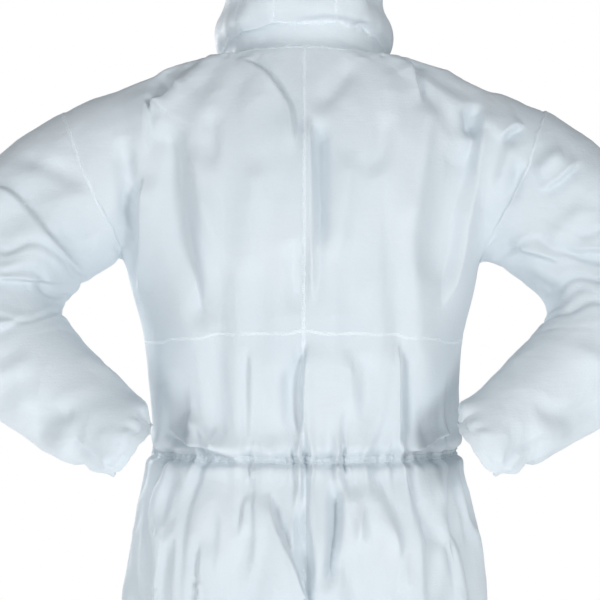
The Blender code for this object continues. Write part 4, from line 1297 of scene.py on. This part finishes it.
def make_storm_flap(cloth, thread):
    """The strip over the zip, laid on the CAD flap's face. Its lower end is sewn down."""
    top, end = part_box("storm_flap"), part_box("storm_flap_end")
    trees = [mesh_surface(frame["nodes"][node].data) for node in ("storm_flap", "storm_flap_end")]
    low_z, high_z = end[0].z, top[1].z
    left, right = top[1].x, top[0].x
    rows, columns = 150, 18
    outer = []
    for i in range(rows + 1):
        z = low_z + (high_z - low_z) * i / rows
        for j in range(columns + 1):
            x = left + (right - left) * j / columns
            at_x = min(max(x, right + 0.0004), left - 0.0004)
            at_z = min(max(z, low_z + 1e-4), high_z - 1e-4)
            depth = flap_depth(trees, at_x, at_z)
            if depth is None:
                depth = flap_depth(trees, at_x, at_z + 0.004)
            ripple = 0.0007 * noise.noise(Vector((x * 40, 3.7, z * 16))) * soft(j / columns, 0.05, 0.5)
            edge = 0.0008 * math.sin(z * 37) * soft(j / columns, 0.5, 1.0)
            outer.append(Vector((x + edge, depth + ripple - 0.0002, z)))
    place = np.array(outer)
    across = columns + 1
    faces = [(a, a + 1, a + across + 1, a + across)
             for a in (i * across + j for i in range(rows) for j in range(columns))]
    grid = bpy.data.meshes.new("flap_grid")
    grid.from_pydata(outer, [], faces)
    normals = normals_of(grid)
    if normals[:, 1].mean() > 0:
        faces = [f[::-1] for f in faces]
        normals = -normals
    piece = shell("storm_flap_cloth", place, faces, normals, place, CLOTH)
    piece.data.materials.append(cloth)
    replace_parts(piece, "storm_flap", "storm_flap_end")
    blend_flap(piece)
    stitched = Strips(surface_of(place, faces))
    ridge = ((-0.0009, -0.0003), (-0.0004, 0.0005), (0.0004, 0.0005), (0.0009, -0.0003))
    for column in (1, columns - 2):
        stitched.add(place[column::across], normals[column::across], ridge, 0.004, False, pucker)
    blend_flap(stitched.piece("storm_flap_stitching", thread, "seam_binding"))


def blend_flap(obj):
    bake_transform(obj)


def keep_hardware(metal, adhesive):
    """The slider, its tab, the stop and the adhesive strip keep their shapes, with eased edges."""
    kept = (("zip_slider", 0.0004, metal), ("pull_tab", 0.0004, metal), ("zip_bottom_stop", 0.0003, metal),
            ("flap_adhesive_tape", 0.0001, adhesive))
    for node, width, material in kept:
        obj = frame["nodes"][node]
        bevel = obj.modifiers.new("Eased edges", "BEVEL")
        bevel.width = width
        bevel.segments = 3
        bevel.limit_method = "ANGLE"
        bevel.angle_limit = math.radians(35)
        obj.data.materials.clear()
        obj.data.materials.append(material)
        obj.data.shade_smooth()
        obj.data.set_sharp_from_angle(angle=math.radians(30))


# ---- materials ----

class Nodes:
    """A material under construction."""

    def __init__(self, name, **values):
        self.material = bpy.data.materials.new(name)
        self.material.use_nodes = True
        self.tree = self.material.node_tree
        self.shader = self.tree.nodes["Principled BSDF"]
        self.output = self.tree.nodes["Material Output"]
        for key, value in values.items():
            self.shader.inputs[key.replace("_", " ")].default_value = value

    def node(self, kind, inputs=None, **settings):
        made = self.tree.nodes.new(kind)
        for key, value in settings.items():
            setattr(made, key, value)
        for key, value in (inputs or {}).items():
            self.plug(value, made.inputs[key])
        return made

    def plug(self, value, socket):
        if isinstance(value, bpy.types.NodeSocket):
            self.tree.links.new(value, socket)
        else:
            socket.default_value = value

    def place(self, name="flat_place"):
        return self.node("ShaderNodeAttribute", attribute_name=name).outputs["Vector"]

    def scaled(self, vector, scale):
        return self.node("ShaderNodeMapping", {"Vector": vector, "Scale": scale}).outputs["Vector"]

    def noise(self, vector, scale, detail=3.0, roughness=0.5):
        return self.node("ShaderNodeTexNoise", {"Vector": vector, "Scale": scale, "Detail": detail,
                                                "Roughness": roughness}).outputs["Fac"]

    def mix(self, factor, first, second):
        return self.node("ShaderNodeMix", {0: factor, 6: first, 7: second}, data_type="RGBA").outputs[2]

    def ranged(self, value, low, high, to_low, to_high):
        return self.node("ShaderNodeMapRange", {"Value": value, "From Min": low, "From Max": high,
                                                "To Min": to_low, "To Max": to_high}).outputs["Result"]

    def bump(self, height, distance, strength=1.0, under=None):
        inputs = {"Height": height, "Distance": distance, "Strength": strength}
        if under is not None:
            inputs["Normal"] = under
        return self.node("ShaderNodeBump", inputs).outputs["Normal"]

    def waves(self, value, length):
        """A sine wave of this length along a value."""
        turns = {0: value, 1: 2 * math.pi / length}
        angle = self.node("ShaderNodeMath", turns, operation="MULTIPLY").outputs[0]
        return self.node("ShaderNodeMath", {0: angle}, operation="SINE").outputs[0]

    def set(self, key, value):
        self.tree.links.new(value, self.shader.inputs[key])


def suit_fabric():
    """Film-coated nonwoven: a cloudy web, fine creping across the cloth, point bonds and small crumples."""
    n = Nodes("suit_fabric", Sheen_Weight=0.12, Sheen_Roughness=0.5, Specular_IOR_Level=0.32)
    place = n.place()
    cloud = n.noise(place, 7.0, 2.0)
    web = n.noise(n.scaled(place, (1.0, 1.0, 1.8)), 420.0, 3.0, 0.65)
    bright, shade = (0.800, 0.862, 0.905, 1), (0.760, 0.832, 0.882, 1)
    colour = n.mix(n.ranged(cloud, 0.35, 0.65, 0, 1), bright, shade)
    colour = n.mix(n.ranged(web, 0.45, 0.75, 0, 0.16), colour, (0.67, 0.75, 0.81, 1))
    n.set("Base Color", colour)
    n.set("Roughness", n.ranged(web, 0.3, 0.7, 0.50, 0.68))
    creping = n.node("ShaderNodeTexNoise", {"Vector": n.scaled(place, (60, 60, 420)), "Scale": 1.0,
                                            "Detail": 2.0}).outputs["Fac"]
    cells = {"Vector": place, "Scale": 560.0}
    bonds = n.node("ShaderNodeTexVoronoi", cells, feature="F1").outputs["Distance"]
    crumple = n.noise(place, 30.0, 5.0, 0.62)
    crease = n.node("ShaderNodeTexVoronoi", {"Vector": n.scaled(place, (1, 1, 0.6)), "Scale": 22.0},
                    feature="DISTANCE_TO_EDGE").outputs["Distance"]
    normal = n.bump(crumple, 0.0035, 0.30)
    normal = n.bump(n.ranged(crease, 0.0, 0.12, 0, 1), 0.0006, 0.25, normal)
    normal = n.bump(creping, 0.0006, 0.35, normal)
    normal = n.bump(bonds, 0.0002, 0.35, normal)
    n.set("Normal", normal)
    through = n.node("ShaderNodeBsdfTranslucent", {"Color": (0.80, 0.88, 0.94, 1), "Normal": normal})
    both = n.node("ShaderNodeMixShader", {0: 0.14, 1: n.shader.outputs[0], 2: through.outputs[0]})
    n.tree.links.new(both.outputs[0], n.output.inputs["Surface"])
    return n.material


def seam_thread():
    """Bound seam with a row of stitches along each side of it."""
    n = Nodes("seam_binding", Sheen_Weight=0.1, Roughness=0.62)
    stitch = n.waves(n.node("ShaderNodeSeparateXYZ", {0: n.place("run")}).outputs[0], 0.0028)
    web = n.noise(n.place(), 500.0, 2.0)
    colour = n.mix(n.ranged(stitch, -0.2, 0.9, 0, 0.25), (0.765, 0.835, 0.882, 1), (0.80, 0.862, 0.905, 1))
    n.set("Base Color", n.mix(n.ranged(web, 0.4, 0.7, 0, 0.2), colour, (0.70, 0.77, 0.82, 1)))
    n.set("Normal", n.bump(web, 0.0002, 0.4, n.bump(stitch, 0.0002, 0.4)))
    return n.material


def woven(name, colour, dark, rib, roughness):
    """A narrow woven band: ribs across its run and yarns along it."""
    n = Nodes(name, Sheen_Weight=0.15)
    parts = n.node("ShaderNodeSeparateXYZ", {0: n.place("run" if rib else "flat_place")})
    ribs = n.waves(parts.outputs[0 if rib else 2], 0.0016)
    yarn = n.noise(n.place(), 900.0, 2.0)
    base = n.mix(n.ranged(ribs, -1, 1, 0, 0.6), colour, dark)
    n.set("Base Color", n.mix(n.ranged(yarn, 0.35, 0.7, 0, 0.3), base, dark))
    n.set("Roughness", n.ranged(yarn, 0.3, 0.7, roughness - 0.08, roughness + 0.08))
    n.set("Normal", n.bump(yarn, 0.0002, 0.3, n.bump(ribs, 0.0004, 0.7)))
    return n.material


def moulded(name, colour, worn, roughness, coat=0.0):
    """Moulded or enamelled hardware: slight grain, and duller, darker edges where hands rub it."""
    n = Nodes(name, Coat_Weight=coat, Coat_Roughness=0.25)
    at = n.node("ShaderNodeTexCoord").outputs["Object"]
    grain = n.noise(at, 900.0, 3.0)
    patch = n.noise(at, 160.0, 2.0)
    edge = n.node("ShaderNodeNewGeometry").outputs["Pointiness"]
    rubbed = n.ranged(edge, 0.52, 0.60, 0, 0.5)
    n.set("Base Color", n.mix(rubbed, n.mix(n.ranged(patch, 0.3, 0.7, 0, 0.2), colour, worn), worn))
    n.set("Roughness", n.ranged(patch, 0.3, 0.7, roughness - 0.07, roughness + 0.10))
    n.set("Normal", n.bump(grain, 0.00008, 0.35))
    return n.material


# ---- stage ----

WORLD_STRENGTH = 0.29
LIGHTS = (
    ("key_light", (-1.5, 2.3, 1.45), (0.6, 0.7), 27.5),
    ("fill_light", (1.6, 2.2, 1.20), (0.9, 1.0), 20.5),
    ("front_light", (1.7, -2.2, 1.6), (0.8, 0.8), 42),
)


def make_stage():
    """A pale floor, a white surround and soft lights behind the suit, where it is seen from."""
    bm = bmesh.new()
    bmesh.ops.create_circle(bm, cap_ends=True, segments=96, radius=3.0)
    floor = link("floor", from_bmesh("floor", bm, recalculate=False))
    floor.location.z = -0.002
    ground = Nodes("floor", Roughness=0.7, Emission_Color=(1, 1, 1, 1), Emission_Strength=0.55)
    tone = ground.noise(ground.node("ShaderNodeTexCoord").outputs["Object"], 2.0, 2.0)
    ground.set("Base Color", ground.mix(tone, (0.80, 0.81, 0.82, 1), (0.84, 0.85, 0.86, 1)))
    floor.data.materials.append(ground.material)
    world = bpy.data.worlds.new("surround")
    world.use_nodes = True
    bpy.context.scene.world = world
    tree = world.node_tree
    glow, backdrop = tree.nodes["Background"], tree.nodes.new("ShaderNodeBackground")
    for shader, colour, strength in ((glow, (0.93, 0.97, 1.0, 1), WORLD_STRENGTH),
                                     (backdrop, (1, 1, 1, 1), 1.0)):
        shader.inputs["Color"].default_value = colour
        shader.inputs["Strength"].default_value = strength
    seen, choice = tree.nodes.new("ShaderNodeLightPath"), tree.nodes.new("ShaderNodeMixShader")
    sources = (seen.outputs["Is Camera Ray"], glow.outputs[0], backdrop.outputs[0])
    for source, target in zip(sources, choice.inputs):
        tree.links.new(source, target)
    tree.links.new(choice.outputs[0], tree.nodes["World Output"].inputs["Surface"])
    bpy.context.scene.view_settings.view_transform = "Standard"
    for name, place, size, power in LIGHTS:
        data = bpy.data.lights.new(name, "AREA")
        data.shape = "RECTANGLE"
        data.size, data.size_y = size
        data.energy = power
        lamp = bpy.data.objects.new(name, data)
        bpy.context.scene.collection.objects.link(lamp)
        lamp.location = place
        aim = Vector((0, BODY_Y, 1.15)) - lamp.location
        lamp.rotation_euler = aim.to_track_quat("-Z", "Y").to_euler()


def make_camera():
    """The photograph's view: level, from behind, from the seat up to the hood."""
    data = bpy.data.cameras.new("camera")
    data.lens = 85
    camera = bpy.data.objects.new("camera", data)
    bpy.context.scene.collection.objects.link(camera)
    middle = Vector((0.005, BODY_Y, (YOKE_Z + WAIST_Z + 1.389) / 3))
    camera.location = middle + Vector((0, 1.77, 0))
    camera.rotation_euler = (math.radians(90), 0, math.radians(180))
    bpy.context.scene.camera = camera


def build():
    fabric, thread = suit_fabric(), seam_thread()
    elastic = woven("elastic", (0.80, 0.83, 0.85, 1), (0.60, 0.65, 0.69, 1), True, 0.7)
    tape = woven("zip_tape", (0.82, 0.85, 0.88, 1), (0.66, 0.71, 0.76, 1), False, 0.65)
    plastic = moulded("zip_chain", (0.84, 0.87, 0.89, 1), (0.70, 0.74, 0.78, 1), 0.42)
    metal = moulded("zip_metal", (0.80, 0.83, 0.85, 1), (0.45, 0.46, 0.48, 1), 0.28, 0.4)
    adhesive = moulded("adhesive_tape", (0.86, 0.84, 0.72, 1), (0.70, 0.67, 0.55, 1), 0.45)
    suit, names = garment()
    shape_folds(suit, names)
    surface = mesh_surface(suit)
    make_panels(suit, names, fabric)
    make_seams(suit, names, surface, thread)
    make_hems(suit, names, surface, fabric, elastic)
    make_waist(suit, names, surface, fabric, elastic)
    make_shoulder_tapes(surface, tape)
    make_zip(tape, plastic)
    make_storm_flap(fabric, thread)
    keep_hardware(metal, adhesive)


build()
make_stage()
make_camera()
